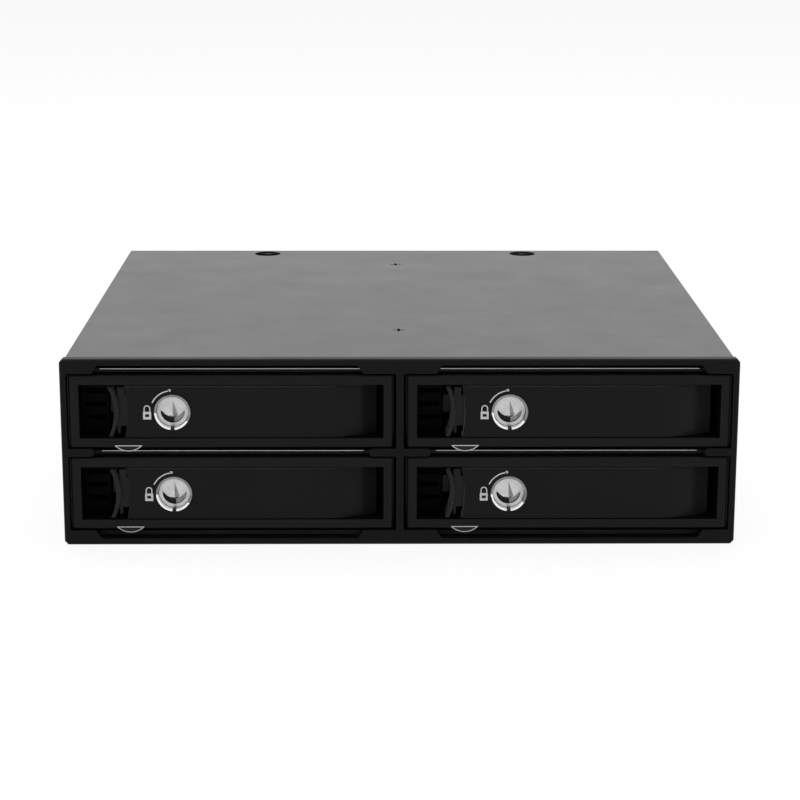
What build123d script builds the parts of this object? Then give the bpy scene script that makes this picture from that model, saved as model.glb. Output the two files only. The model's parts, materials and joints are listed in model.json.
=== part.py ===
from build123d import *
import math
import os

# Four-bay hot swap drive cage for a half-height 5.25 inch drive slot.
# Millimetres. X is to the right seen from the front, Y runs from the front to the back, Z is up.
# Sizes along Y are written as depths behind the front face of the bezel.

# Cage body
BODY_WIDTH = 146.05
BODY_HEIGHT = 41.3
CAGE_DEPTH = 139.5
SHEET = 0.6
BEND_RADIUS = 0.5
DECK_SHEET = 0.8
WALL_THICKNESS = 1.6
DECK_FRONT = 3.2
PLAY = 0.1

# Front bezel
BEZEL_LAP_SIDE = 0.975
BEZEL_LAP_TOP = 0.35
BEZEL_DEPTH = 2.5
BEZEL_CORNER = 0.8
BEZEL_EDGE = 0.35
BEZEL_SIDE_BAR = 1.4
BEZEL_TOP_BAR = 1.45
DIVIDER_WIDTH = 1.68
TRAY_SLIT = 0.35
TRAY_SIDE_SLIT = 0.55
CORNER_TAB = 7.0
CENTRE_TAB = 8.0
TAB_CHAMFER = 1.2
CROSS_ARM = 6.8
SIDE_ARM = 7.2
ARM_HEIGHT = 1.75
SNAP_LEG_REACH = 6.5
SNAP_LEG_WIDTH = 4.0
SNAP_LEG_THICKNESS = 0.9
SNAP_HOOK_LENGTH = 1.2
SNAP_LEG_INSET = 4.5
SNAP_LEG_SIDE_INSET = 3.2

# Tray front
ROW_MARGIN = 3.65
ROW_GAP = 2.3
CENTRE_OFFSET = 1.6
FRONT_LENGTH = 14.0
FRONT_RECESS = 0.15
FRONT_CORNER = 0.6
FRONT_EDGE = 0.3
FRONT_WALL = 2.1
FRONT_BACK = 1.5
SHOULDER_DEPTH = 8.0
LOUVRE_DEPTH = 7.5
LOUVRE_PANEL = 1.0
LOUVRE_WIDTH = 5.6
LOUVRE_MARGIN = 0.5
LOUVRE_SLIT = 1.1
LOUVRE_COUNT = 3
VENT_GAP = 2.0
VENT_HEIGHT = 3.0
VENT_COUNT = 4

# Sled
SLED_OVERHANG = 0.275
SLED_SHEET = 0.5
SLED_DROP = 0.15
SLED_BACK_GAP = 8.9
SLED_FLANGE = 8.0
SLED_EAR_LENGTH = 12.0
SLED_SLOT_GAP = 12.0
SLED_SLOT_MARGIN = 7.5
SLED_ALONG_COUNT = 2
SLED_ACROSS_COUNT = 2
DRIVE_FRONT = 15.0
DRIVE_PLUG_GAP = 0.3
DRIVE_HOLE_MARGIN = 4.365
DRIVE_HOLE_FROM_FRONT = 9.7
DRIVE_HOLE_FROM_PLUG = 14.0
DRIVE_HOLE_RADIUS = 1.7
SLED_SCREW_PLACE = 20.0
SLED_SCREW_DEPTH = 11.0
SLED_SCREW_RADIUS = 1.0
SLED_SCREW_HEAD = 1.9
SLED_SCREW_HEAD_HEIGHT = 0.8
SLED_SCREW_LENGTH = 1.9

# Light pipe
LENS_PLACE = 12.7
LENS_WIDTH = 6.2
LENS_DROP = 0.84
LENS_RISE = 0.55
LENS_LENGTH = 3.2
PIPE_WIDTH = 2.0
PIPE_DROP = 1.15
PIPE_START = 1.8
PIPE_BACK_GAP = 1.0

# Handle
HANDLE_LEFT = 12.0
HANDLE_RIGHT_GAP = 3.55
HANDLE_BOTTOM_SLIT = 0.15
HANDLE_TOP_SLIT = 0.55
HANDLE_FACE = 0.5
HANDLE_SKIN = 1.6
HANDLE_BACK = 6.0
HANDLE_CURVE_RUN = 11.7
HANDLE_CURVE_RADIUS = 14.0
HANDLE_SCOOP_RADIUS = 26.9
HANDLE_SCOOP_DEPTH = 0.6
HANDLE_RIM = 1.1
HANDLE_RIB = 1.0
HANDLE_RIB_COUNT = 3
PIVOT_INSET = 5.4
PIVOT_DEPTH = 6.6
BARREL_RADIUS = 3.2
PIN_RADIUS = 1.0
PIN_CLEARANCE = 0.05
PIN_SHORT = 0.3

# Latch
BLADE_TIP = 8.4
BLADE_MIDDLE = 10.1
BLADE_THICKNESS = 0.9
BLADE_SHORT = 0.3
BLADE_FRONT = 0.6
BLADE_BACK = 7.0
STRIP_LEFT = 10.2
STRIP_RIGHT = 11.9
STRIP_SHORT = 0.9
STRIP_THICKNESS = 1.2
STRIP_NOTCH = 1.0
TONGUE_END = 13.9
TONGUE_SHORT = 4.3
LATCH_TRAVEL = 1.8
HOOK_NOSE = 8.0
HOOK_HEIGHT = 4.0
HOOK_FRONT = 8.9
HOOK_BACK = 10.2
SPRING_STRIP = 0.25
SPRING_HEIGHT = 4.0
SPRING_BENDS = 3
SPRING_RUN = 2.2

# Lock
LOCK_X = 22.4
LOCK_RING_RADIUS = 4.0
LOCK_RING_PROUD = 0.4
LOCK_RING_EDGE = 0.15
LOCK_BODY_RADIUS = 3.75
LOCK_BODY_END = 10.1
LOCK_HOLE_PLAY = 0.05
LOCK_BOSS_RADIUS = 5.0
PLUG_RADIUS = 3.435
PLUG_CLEARANCE = 0.065
PLUG_RECESS = 1.8
PLUG_TAIL = 3.0
CRESCENT_OUTER = 2.68
CRESCENT_INNER = 2.75
CRESCENT_SHIFT = 1.44
CRESCENT_DEPTH = 0.6
CAM_GAP = 0.2
CAM_THICKNESS = 1.0
CAM_OVERREACH = 0.05
CAM_WIDTH = 3.0
CAM_BOSS = 2.7
KEEPER_LEFT = 15.3
KEEPER_WALL = 0.9
KEEPER_LIP = 17.6
KEEPER_LIP_THICKNESS = 0.9
KEEPER_HEIGHT = 4.4
POINTER_TIP = 2.4
POINTER_FOOT = 0.8
POINTER_BELLY = 0.66
POINTER_WIDTH = 2.2
POINTER_PROUD = 0.3

# Decks and guides
DECK_DROP = 1.35
GLIDE_WIDTH = 2.4
GLIDE_INSET = 7.5
GLIDE_START = 12.0
GLIDE_BACK_GAP = 10.4
DECK_TAB_LENGTH = 10.0
DECK_TAB_FIRST = 25.0
DECK_TAB_BACK_GAP = 12.4
DECK_VENT_GAP = 7.0
DECK_VENT_MARGIN = 12.0
DECK_ALONG_COUNT = 4
DECK_ACROSS_COUNT = 2
WALL_VENT_GAP = 7.0
WALL_VENT_MARGIN = 5.1

# Cover
COVER_SCREW_FIRST = 32.5
COVER_SCREW_BACK_GAP = 4.4
COVER_SCREW_HEAD = 2.75
COVER_SCREW_RADIUS = 1.5
COVER_SCREW_BITE = 0.65
COVER_DIMPLE_FLOOR = 0.2
COVER_HOLE_RADIUS = 3.5
COVER_HOLE_X = 35.0
COVER_HOLE_BACK_GAP = 4.9
COVER_LUG_LENGTH = 10.0
COVER_LUG_DROP = 1.6
COVER_LUG_FIRST = 14.0
COVER_LUG_BACK_GAP = 24.4
DRIVER_RECESS = 2.8
DRIVER_RECESS_DEPTH = 0.8

# Side and bottom fixing holes of a half-height drive
FIX_HOLE_RADIUS = 1.25
FIX_BACK_GAP = 10.35
FIX_ALONG = 79.25
FIX_LOW = 10.0
FIX_RISE = 11.84
FIX_SIDE_GAP = 3.175

# Backplane
BOARD_BACK_GAP = 17.1
BOARD_THICKNESS = 1.6
BOARD_MARGIN = 0.25
BOARD_SIDE_MARGIN = 0.5
BOARD_WINDOW_MARGIN = 10.2
BOARD_WINDOW_TOP = 0.8
BOARD_WINDOW_GAP = 2.55
SOCKET_WIDTH = 37.6
SOCKET_HEIGHT = 4.9
SOCKET_LENGTH = 6.8
SOCKET_OFFSET = 7.6
SOCKET_RISE = 4.1
TONGUE_SLOT_HEIGHT = 2.0
TONGUE_SLOT_DEPTH = 3.4
SOCKET_KEY = 1.6
DATA_SLOT = 11.0
POWER_SLOT = 20.4
INDICATOR_WIDTH = 1.6
INDICATOR_HEIGHT = 0.8
INDICATOR_DEPTH = 0.6
CAPACITOR_RADIUS = 2.5
CAPACITOR_LENGTH = 5.5
CAPACITOR_SIDE_GAP = 31.0
CAPACITOR_RISE = 4.5
HEADER_WIDTH = 8.0
HEADER_HEIGHT = 6.0
HEADER_LENGTH = 3.4
HEADER_OFFSET = 12.0
CHIP_WIDTH = 8.0
CHIP_HEIGHT = 8.0
CHIP_THICKNESS = 1.2
CHIP_OFFSET = 12.0

# Rear connectors
DATA_PORT_WIDTH = 16.6
DATA_PORT_HEIGHT = 6.0
DATA_PORT_LENGTH = 8.5
DATA_PORT_SIDE_GAP = 21.0
DATA_PORT_RISE = 7.6
POWER_PORT_WIDTH = 23.6
POWER_PORT_HEIGHT = 6.4
POWER_PORT_FAN_GAP = 5.7
PORT_WALL = 1.1
PORT_FLOOR = 1.5
PORT_BLADE = 1.2
PORT_BLADE_SHORT = 0.75
PORT_KEY_RISE = 1.7

# Rear panel and fan
PANEL_RECESS = 1.2
PANEL_WINDOW_FAN_GAP = 1.5
PANEL_WINDOW_SIDE_GAP = 9.0
PANEL_WINDOW_MARGIN = 5.0
PANEL_FLANGE = 8.0
STANDOFF_RADIUS = 2.5
STANDOFF_HOLE_RADIUS = 1.75
STANDOFF_SIDE_GAP = 5.0
STANDOFF_MARGIN = 6.0
FAN_SIDE_GAP = 0.65
FAN_DEPTH = 10.0
FAN_RIM = 1.0
FAN_CORNER = 3.0
FAN_HOLE_INSET = 4.0
FAN_HUB_RADIUS = 10.0
FAN_HUB_PLATE = 1.5
FAN_STRUT = 2.4
ROTOR_RADIUS = 10.5
ROTOR_LENGTH = 7.6
ROTOR_FRONT_GAP = 0.5
ROTOR_WALL = 1.2
ROTOR_EDGE = 0.6
BLADE_COUNT = 7
BLADE_SWEEP = 32.0
FAN_BLADE_THICKNESS = 1.1
FAN_BLADE_GAP = 0.6
SHAFT_RADIUS = 1.0
SHAFT_CLEARANCE = 0.04
BEARING_RADIUS = 3.0
BEARING_LENGTH = 5.0
MOTOR_CORE_LENGTH = 2.5
GRILLE_RING_COUNT = 3
GRILLE_RING_PITCH = 5.0
GRILLE_RING_OPENING = 3.2
GRILLE_RIM = 0.8
GRILLE_SPOKE = 2.4
FAN_SCREW_HEAD = 2.9
FAN_SCREW_HEAD_HEIGHT = 1.0
FAN_SCREW_LENGTH = 6.0
FAN_SCREW_CORE = 1.75

# Sizes and places worked out from those above
BEZEL_WIDTH = BODY_WIDTH + 2 * BEZEL_LAP_SIDE
BEZEL_HEIGHT = BODY_HEIGHT + 2 * BEZEL_LAP_TOP
HALF_BODY = BODY_WIDTH / 2
WALL_FACE = HALF_BODY - SHEET
BODY_BOTTOM = BEZEL_LAP_TOP
FLOOR_TOP = BODY_BOTTOM + SHEET
BODY_TOP = BODY_BOTTOM + BODY_HEIGHT
COVER_UNDER = BODY_TOP - SHEET
MIDDLE_Z = BEZEL_HEIGHT / 2
FRONT_WIDTH = BEZEL_WIDTH / 2 - BEZEL_SIDE_BAR - TRAY_SIDE_SLIT - CENTRE_OFFSET
FRONT_HEIGHT = (BEZEL_HEIGHT - 2 * ROW_MARGIN - ROW_GAP) / 2
ROW_PITCH = FRONT_HEIGHT + ROW_GAP
LOWER_ROW = ROW_MARGIN
UPPER_ROW = LOWER_ROW + ROW_PITCH
LEFT_COLUMN = -CENTRE_OFFSET - FRONT_WIDTH
RIGHT_COLUMN = CENTRE_OFFSET
TRAY_PLACES = (
    (LEFT_COLUMN, UPPER_ROW),
    (RIGHT_COLUMN, UPPER_ROW),
    (LEFT_COLUMN, LOWER_ROW),
    (RIGHT_COLUMN, LOWER_ROW),
)
DECK_TOPS = tuple(LOWER_ROW - DECK_DROP + row * ROW_PITCH for row in range(3))
HALF_WALL = WALL_THICKNESS / 2
BOARD_FRONT = CAGE_DEPTH - BOARD_BACK_GAP
BOARD_BACK = BOARD_FRONT + BOARD_THICKNESS
DECK_TAB_LAST = BOARD_FRONT - DECK_TAB_BACK_GAP
DECK_TAB_DEPTHS = (DECK_TAB_FIRST, (DECK_TAB_FIRST + DECK_TAB_LAST) / 2, DECK_TAB_LAST)

TRAY_MIDDLE = FRONT_WIDTH / 2
CAVITY_END = FRONT_LENGTH - FRONT_BACK
HANDLE_HEIGHT = FRONT_HEIGHT - 2 * FRONT_WALL - HANDLE_BOTTOM_SLIT - HANDLE_TOP_SLIT
HANDLE_BOTTOM = FRONT_WALL + HANDLE_BOTTOM_SLIT
HANDLE_TOP = HANDLE_BOTTOM + HANDLE_HEIGHT
HANDLE_MIDDLE = HANDLE_BOTTOM + HANDLE_HEIGHT / 2
HANDLE_RIGHT = FRONT_WIDTH - HANDLE_RIGHT_GAP
HANDLE_CURVE_START = HANDLE_RIGHT - HANDLE_CURVE_RUN
PIVOT_X = HANDLE_RIGHT - PIVOT_INSET
HALF_BLADE = (HANDLE_HEIGHT - BLADE_SHORT) / 2
HALF_STRIP = (HANDLE_HEIGHT - STRIP_SHORT) / 2
HALF_TONGUE = (HANDLE_HEIGHT - TONGUE_SHORT) / 2
SLED_WIDTH = FRONT_WIDTH + 2 * SLED_OVERHANG
SLED_END = BOARD_FRONT - SLED_BACK_GAP
SLED_BOTTOM = -SLED_DROP
SLED_TOP = SLED_BOTTOM + SLED_SHEET
SLED_EAR_TOP = FRONT_HEIGHT - FRONT_CORNER - SLED_DROP
SLED_SCREW_PLACES = (SLED_SCREW_PLACE, FRONT_WIDTH - SLED_SCREW_PLACE)
DRIVE_END = BOARD_FRONT - SOCKET_LENGTH - DRIVE_PLUG_GAP
PIPE_END = BOARD_FRONT - PIPE_BACK_GAP
CAM_FRONT = LOCK_BODY_END + CAM_GAP
CAM_REACH = HANDLE_HEIGHT / 2 + CAM_OVERREACH

COVER_SCREW_DEPTHS = (COVER_SCREW_FIRST, BOARD_FRONT - COVER_SCREW_BACK_GAP)
COVER_SCREW_LENGTH = BODY_TOP - DECK_TOPS[2] + DECK_SHEET + COVER_SCREW_BITE
COVER_HEAD_HEIGHT = COVER_SCREW_HEAD - COVER_SCREW_RADIUS
COVER_SEAT = BODY_TOP - COVER_HEAD_HEIGHT - COVER_DIMPLE_FLOOR
COVER_LUG_LAST = BOARD_FRONT - COVER_LUG_BACK_GAP
COVER_LUG_DEPTHS = (COVER_LUG_FIRST, (COVER_LUG_FIRST + COVER_LUG_LAST) / 2, COVER_LUG_LAST)
PANEL_FRONT = CAGE_DEPTH - PANEL_RECESS - SHEET
FAN_SIZE = BODY_HEIGHT - 2 * FAN_SIDE_GAP
FAN_FRONT = PANEL_FRONT - FAN_DEPTH
FAN_BORE = FAN_SIZE / 2 - FAN_RIM
FAN_HOLE_PITCH = FAN_SIZE - 2 * FAN_HOLE_INSET
PANEL_WINDOW_INNER = FAN_SIZE / 2 + PANEL_WINDOW_FAN_GAP
PANEL_WINDOW_OUTER = HALF_BODY - PANEL_WINDOW_SIDE_GAP
POWER_PORT_X = FAN_SIZE / 2 + POWER_PORT_FAN_GAP
DATA_PORT_X = HALF_BODY - DATA_PORT_SIDE_GAP
STANDOFF_X = HALF_BODY - STANDOFF_SIDE_GAP
PART_PLACE = Location((0, -CAGE_DEPTH / 2, 0))


def block(x, y, z):
    """A rectangular solid between pairs of coordinates."""
    size = (x[1] - x[0], y[1] - y[0], z[1] - z[0])
    centre = ((x[0] + x[1]) / 2, (y[0] + y[1]) / 2, (z[0] + z[1]) / 2)
    return Pos(*centre) * Box(*size)


def front_plane(depth):
    """The plane of the front view, with X to the right and Z up, at a depth."""
    return Plane(origin=(0, depth, 0), x_dir=(1, 0, 0), z_dir=(0, -1, 0))


def plate_facing_front(sketch, depth, thickness):
    """A front-view outline given a thickness, from a depth towards the back."""
    return extrude(front_plane(depth) * sketch, thickness, dir=(0, 1, 0))


def plate_lying_flat(sketch, bottom, thickness):
    """A plan-view outline given a thickness, from a height upwards."""
    return extrude(Plane.XY.offset(bottom) * sketch, thickness)


def rod_along_y(radius, x, z, depths):
    """A round bar that runs from front to back."""
    centre = (x, (depths[0] + depths[1]) / 2, z)
    return Pos(*centre) * Rot(90, 0, 0) * Cylinder(radius, depths[1] - depths[0])


def rod_along_z(radius, x, y, heights):
    """A round bar that stands upright."""
    return Pos(x, y, (heights[0] + heights[1]) / 2) * Cylinder(radius, heights[1] - heights[0])


def rod_along_x(radius, y, z, span):
    """A round bar that runs from side to side."""
    return Pos((span[0] + span[1]) / 2, y, z) * Rot(0, 90, 0) * Cylinder(radius, span[1] - span[0])


def rectangle(x, y):
    """A flat rectangle between pairs of coordinates."""
    return Pos((x[0] + x[1]) / 2, (y[0] + y[1]) / 2) * Rectangle(x[1] - x[0], y[1] - y[0])


def write(name, shape):
    """Put a finished piece in the part's own frame and write it to its file."""
    placed = PART_PLACE * shape
    placed.label = name
    export_step(placed, f"parts/{name}.step")


# Tray pieces, in a frame whose origin is the lower left corner of the tray front


def tray_front():
    """The moulded front: a frame round an open cavity, with louvres and a keeper."""
    outline = RectangleRounded(FRONT_WIDTH, FRONT_HEIGHT, FRONT_CORNER)
    outline = Pos(TRAY_MIDDLE, FRONT_HEIGHT / 2) * outline
    body = plate_facing_front(outline, FRONT_RECESS, SHOULDER_DEPTH - FRONT_RECESS)
    front_edges = body.faces().sort_by(Axis.Y)[0].edges()
    body = chamfer(front_edges, FRONT_EDGE)
    inset = TRAY_MIDDLE - SLED_WIDTH / 2 + SLED_SHEET
    body += block(
        (inset, FRONT_WIDTH - inset),
        (SHOULDER_DEPTH, FRONT_LENGTH),
        (SLED_TOP, FRONT_HEIGHT - FRONT_EDGE),
    )
    across = (FRONT_WALL, FRONT_WIDTH - FRONT_WALL + PLAY)
    body -= block(across, (0, CAVITY_END), (FRONT_WALL, FRONT_HEIGHT - FRONT_WALL))
    body += louvre_panel()
    body += lock_keeper()
    for vent in back_vents():
        body -= vent
    body -= rod_along_z(PIN_RADIUS, PIVOT_X, PIVOT_DEPTH, (PIN_SHORT, FRONT_HEIGHT - PIN_SHORT))
    body -= lens_outline_solid(LENS_LENGTH + FRONT_RECESS)
    for place in SLED_SCREW_PLACES:
        body -= rod_along_z(SLED_SCREW_RADIUS, place, SLED_SCREW_DEPTH, (0, SLED_SCREW_LENGTH))
    return body


def louvre_panel():
    """The slotted panel at the back of the finger recess."""
    across = (FRONT_WALL, FRONT_WALL + LOUVRE_WIDTH)
    depths = (LOUVRE_DEPTH, LOUVRE_DEPTH + LOUVRE_PANEL)
    panel = block(across, depths, (FRONT_WALL, FRONT_HEIGHT - FRONT_WALL))
    pitch = (FRONT_HEIGHT - 2 * FRONT_WALL) / (LOUVRE_COUNT + 1)
    slit = (across[0] + LOUVRE_MARGIN, across[1] - LOUVRE_MARGIN)
    for number in range(LOUVRE_COUNT):
        low = FRONT_WALL + pitch * (number + 1) - LOUVRE_SLIT / 2
        panel -= block(slit, depths, (low, low + LOUVRE_SLIT))
    return panel


def lock_keeper():
    """The hooked post on the cavity's back wall that the lock's cam turns behind."""
    heights = (HANDLE_MIDDLE - KEEPER_HEIGHT / 2, HANDLE_MIDDLE + KEEPER_HEIGHT / 2)
    lip_front = CAM_FRONT - CAM_GAP - KEEPER_LIP_THICKNESS
    post = block((KEEPER_LEFT, KEEPER_LEFT + KEEPER_WALL), (lip_front, CAVITY_END), heights)
    lip = block((KEEPER_LEFT, KEEPER_LIP), (lip_front, lip_front + KEEPER_LIP_THICKNESS), heights)
    return post + lip


def back_vents():
    """Air openings through the back wall of the cavity, right of the lock."""
    start = LOCK_X + LOCK_BOSS_RADIUS
    pitch = (PIVOT_X - BARREL_RADIUS - start + VENT_GAP) / VENT_COUNT
    heights = (HANDLE_MIDDLE - VENT_HEIGHT / 2, HANDLE_MIDDLE + VENT_HEIGHT / 2)
    vents = []
    for number in range(VENT_COUNT):
        left = start + pitch * number
        vents.append(block((left, left + pitch - VENT_GAP), (CAVITY_END, FRONT_LENGTH), heights))
    return vents


def lens_outline_solid(length):
    """The lens outline, flat on top and bowed below, given a length from the front."""
    left = (LENS_PLACE - LENS_WIDTH / 2, LENS_RISE)
    right = (LENS_PLACE + LENS_WIDTH / 2, LENS_RISE)
    bow = ThreePointArc(left, (LENS_PLACE, -LENS_DROP), right)
    outline = make_face([bow, Line(right, left)])
    return plate_facing_front(outline, 0, length)


def light_pipe():
    """A clear lens at the front with a flat light guide that runs under the sled."""
    lens = lens_outline_solid(LENS_LENGTH + FRONT_RECESS)
    lens -= block((0, FRONT_WIDTH), (0, FRONT_RECESS), (-FRONT_WALL, FRONT_WALL))
    across = (LENS_PLACE - PIPE_WIDTH / 2, LENS_PLACE + PIPE_WIDTH / 2)
    guide = block(across, (PIPE_START, PIPE_END), (-PIPE_DROP, SLED_BOTTOM))
    return lens + guide


def sled():
    """The folded steel tray floor with its two side flanges and end ears."""
    left = TRAY_MIDDLE - SLED_WIDTH / 2
    right = TRAY_MIDDLE + SLED_WIDTH / 2
    body = block((left, right), (SHOULDER_DEPTH, SLED_END), (SLED_BOTTOM, SLED_EAR_TOP))
    body -= block((left + SLED_SHEET, right - SLED_SHEET), (0, SLED_END), (SLED_TOP, SLED_EAR_TOP))
    lower_edges = body.edges().filter_by(Axis.Y).sort_by(Axis.Z)[:2]
    body = chamfer(lower_edges, SLED_SHEET / 2)
    body -= flange_relief(left - PLAY, right + PLAY)
    body -= sled_floor_cutouts()
    return body


def flange_relief(left, right):
    """The cut that lowers the side flanges between their front and rear ears."""
    start = FRONT_LENGTH + PLAY
    end = SLED_END - SLED_EAR_LENGTH
    low = SLED_BOTTOM + SLED_FLANGE
    high = SLED_EAR_TOP
    slope = high - low
    profile = Polygon((start, high), (start + slope, low), (end - slope, low), (end, high), align=None)
    return extrude(Plane((left, 0, 0), x_dir=(0, 1, 0), z_dir=(1, 0, 0)) * profile, right - left)


def drive_hole_places():
    """Plan positions of a drive's four bottom screws."""
    rear = DRIVE_END - DRIVE_HOLE_FROM_PLUG
    front = DRIVE_FRONT + DRIVE_HOLE_FROM_FRONT
    sides = (DRIVE_HOLE_MARGIN, FRONT_WIDTH - DRIVE_HOLE_MARGIN)
    return [(x, depth) for x in sides for depth in (front, rear)]


def spread(span, count, gap):
    """Equal stretches of a span with a gap between each two."""
    length = (span[1] - span[0] - gap * (count - 1)) / count
    starts = [span[0] + number * (length + gap) for number in range(count)]
    return [(start, start + length) for start in starts]


def sled_floor_cutouts():
    """Holes and openings through the sled's floor."""
    across = (DRIVE_HOLE_MARGIN + SLED_SLOT_MARGIN, FRONT_WIDTH - DRIVE_HOLE_MARGIN - SLED_SLOT_MARGIN)
    along = (FRONT_LENGTH + SLED_SLOT_MARGIN, SLED_END - SLED_SLOT_MARGIN)
    sketch = Pos(SLED_SCREW_PLACES[0], SLED_SCREW_DEPTH) * Circle(SLED_SCREW_RADIUS)
    sketch += Pos(SLED_SCREW_PLACES[1], SLED_SCREW_DEPTH) * Circle(SLED_SCREW_RADIUS)
    for x in spread(across, SLED_ACROSS_COUNT, SLED_SLOT_GAP):
        for y in spread(along, SLED_ALONG_COUNT, SLED_SLOT_GAP):
            sketch += rectangle(x, y)
    for x, y in drive_hole_places():
        sketch += Pos(x, y) * Circle(DRIVE_HOLE_RADIUS)
    return plate_lying_flat(sketch, SLED_BOTTOM - PLAY, SLED_SHEET + 2 * PLAY)


def sled_screws():
    """Two small flat head screws that hold the sled to the moulded front."""
    head_bottom = SLED_BOTTOM - SLED_SCREW_HEAD_HEIGHT
    screws = []
    for place in SLED_SCREW_PLACES:
        head = rod_along_z(SLED_SCREW_HEAD, place, SLED_SCREW_DEPTH, (head_bottom, SLED_BOTTOM))
        top = SLED_SCREW_LENGTH
        shank = rod_along_z(SLED_SCREW_RADIUS, place, SLED_SCREW_DEPTH, (SLED_BOTTOM, top))
        screws.append(head + shank)
    return screws


def handle_profile():
    """Plan outline of the handle: a flat face that curves back into the hinge barrel."""
    centre_depth = HANDLE_FACE + HANDLE_CURVE_RADIUS
    run = HANDLE_RIGHT - HANDLE_CURVE_START
    end_depth = centre_depth - math.sqrt(HANDLE_CURVE_RADIUS**2 - run**2)
    turn = math.asin(run / HANDLE_CURVE_RADIUS) / 2
    middle = (
        HANDLE_CURVE_START + HANDLE_CURVE_RADIUS * math.sin(turn),
        centre_depth - HANDLE_CURVE_RADIUS * math.cos(turn),
    )
    start = (HANDLE_CURVE_START, HANDLE_FACE)
    end = (HANDLE_RIGHT, end_depth)
    inner = (PIVOT_X, HANDLE_BACK + BARREL_RADIUS / 2)
    lines = [
        Line((HANDLE_LEFT, HANDLE_FACE), start),
        ThreePointArc(start, middle, end),
        Line(end, inner),
        Line(inner, (PIVOT_X - BARREL_RADIUS, HANDLE_BACK)),
        Line((PIVOT_X - BARREL_RADIUS, HANDLE_BACK), (HANDLE_LEFT, HANDLE_BACK)),
        Line((HANDLE_LEFT, HANDLE_BACK), (HANDLE_LEFT, HANDLE_FACE)),
    ]
    return make_face(lines)


def handle():
    """The moulded lever, hollow behind its face, with ribs and a boss round the lock."""
    body = plate_lying_flat(handle_profile(), HANDLE_BOTTOM, HANDLE_HEIGHT)
    body += rod_along_z(BARREL_RADIUS, PIVOT_X, PIVOT_DEPTH, (HANDLE_BOTTOM, HANDLE_TOP))
    scoop_x = HANDLE_LEFT + HANDLE_SCOOP_DEPTH - HANDLE_SCOOP_RADIUS
    body -= rod_along_y(HANDLE_SCOOP_RADIUS, scoop_x, HANDLE_MIDDLE, (0, HANDLE_BACK + PLAY))
    body -= handle_hollows()
    hole = LOCK_BODY_RADIUS + LOCK_HOLE_PLAY
    body -= rod_along_y(hole, LOCK_X, HANDLE_MIDDLE, (0, HANDLE_BACK + PLAY))
    pin_hole = PIN_RADIUS + PIN_CLEARANCE
    body -= rod_along_z(pin_hole, PIVOT_X, PIVOT_DEPTH, (HANDLE_BOTTOM, HANDLE_TOP))
    return body


def handle_hollows():
    """The spaces behind the handle's face: one for the latch, the rest between ribs."""
    heights = (HANDLE_BOTTOM + HANDLE_RIM, HANDLE_TOP - HANDLE_RIM)
    depths = (HANDLE_FACE + HANDLE_SKIN, HANDLE_BACK + PLAY)
    latch_space = block((HANDLE_LEFT - HANDLE_SCOOP_DEPTH, LOCK_X - LOCK_BOSS_RADIUS), depths, heights)
    strip_room = HALF_STRIP + PLAY
    latch_space += block(
        (HANDLE_LEFT - HANDLE_SCOOP_DEPTH, STRIP_RIGHT + LATCH_TRAVEL + PLAY),
        depths,
        (HANDLE_MIDDLE - strip_room, HANDLE_MIDDLE + strip_room),
    )
    start = LOCK_X + LOCK_BOSS_RADIUS
    end = PIVOT_X - BARREL_RADIUS - HANDLE_RIB
    width = (end - start - HANDLE_RIB * HANDLE_RIB_COUNT) / (HANDLE_RIB_COUNT + 1)
    hollows = latch_space
    for number in range(HANDLE_RIB_COUNT + 1):
        left = start + number * (width + HANDLE_RIB)
        hollows += block((left, left + width), depths, heights)
    return hollows


def handle_pin():
    """The steel pin that the handle turns on."""
    return rod_along_z(PIN_RADIUS, PIVOT_X, PIVOT_DEPTH, (PIN_SHORT, FRONT_HEIGHT - PIN_SHORT))


def latch_blade():
    """The thumb blade, an arc in the front view that is hollow towards the recess."""
    low = HANDLE_MIDDLE - HALF_BLADE
    high = HANDLE_MIDDLE + HALF_BLADE
    half = BLADE_THICKNESS / 2
    inner = ThreePointArc((BLADE_TIP, low), (BLADE_MIDDLE - half, HANDLE_MIDDLE), (BLADE_TIP, high))
    outer_tip = BLADE_TIP + BLADE_THICKNESS
    outer = ThreePointArc((outer_tip, high), (BLADE_MIDDLE + half, HANDLE_MIDDLE), (outer_tip, low))
    top = Line((BLADE_TIP, high), (outer_tip, high))
    bottom = Line((outer_tip, low), (BLADE_TIP, low))
    outline = make_face([inner, top, outer, bottom])
    return plate_facing_front(outline, BLADE_FRONT, BLADE_BACK - BLADE_FRONT)


def latch():
    """The sliding latch: blade, visible strip, tongue behind the handle and hook arm."""
    front = HANDLE_FACE + HANDLE_SKIN + PLAY
    depths = (front, front + STRIP_THICKNESS)
    low = HANDLE_MIDDLE - HALF_STRIP
    strip = block((STRIP_LEFT, STRIP_RIGHT), depths, (low, HANDLE_MIDDLE + HALF_STRIP))
    strip -= block((STRIP_RIGHT - STRIP_NOTCH, STRIP_RIGHT), depths, (low, low + 2 * STRIP_NOTCH))
    tongue_heights = (HANDLE_MIDDLE - HALF_TONGUE, HANDLE_MIDDLE + HALF_TONGUE)
    tongue = block((STRIP_LEFT, TONGUE_END), depths, tongue_heights)
    heights = (HANDLE_MIDDLE - HOOK_HEIGHT / 2, HANDLE_MIDDLE + HOOK_HEIGHT / 2)
    arm = block((STRIP_LEFT, STRIP_RIGHT), (front, HOOK_BACK), heights)
    nose = block((HOOK_NOSE, STRIP_LEFT), (HOOK_FRONT, HOOK_BACK), heights)
    return latch_blade() + strip + tongue + arm + nose


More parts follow.
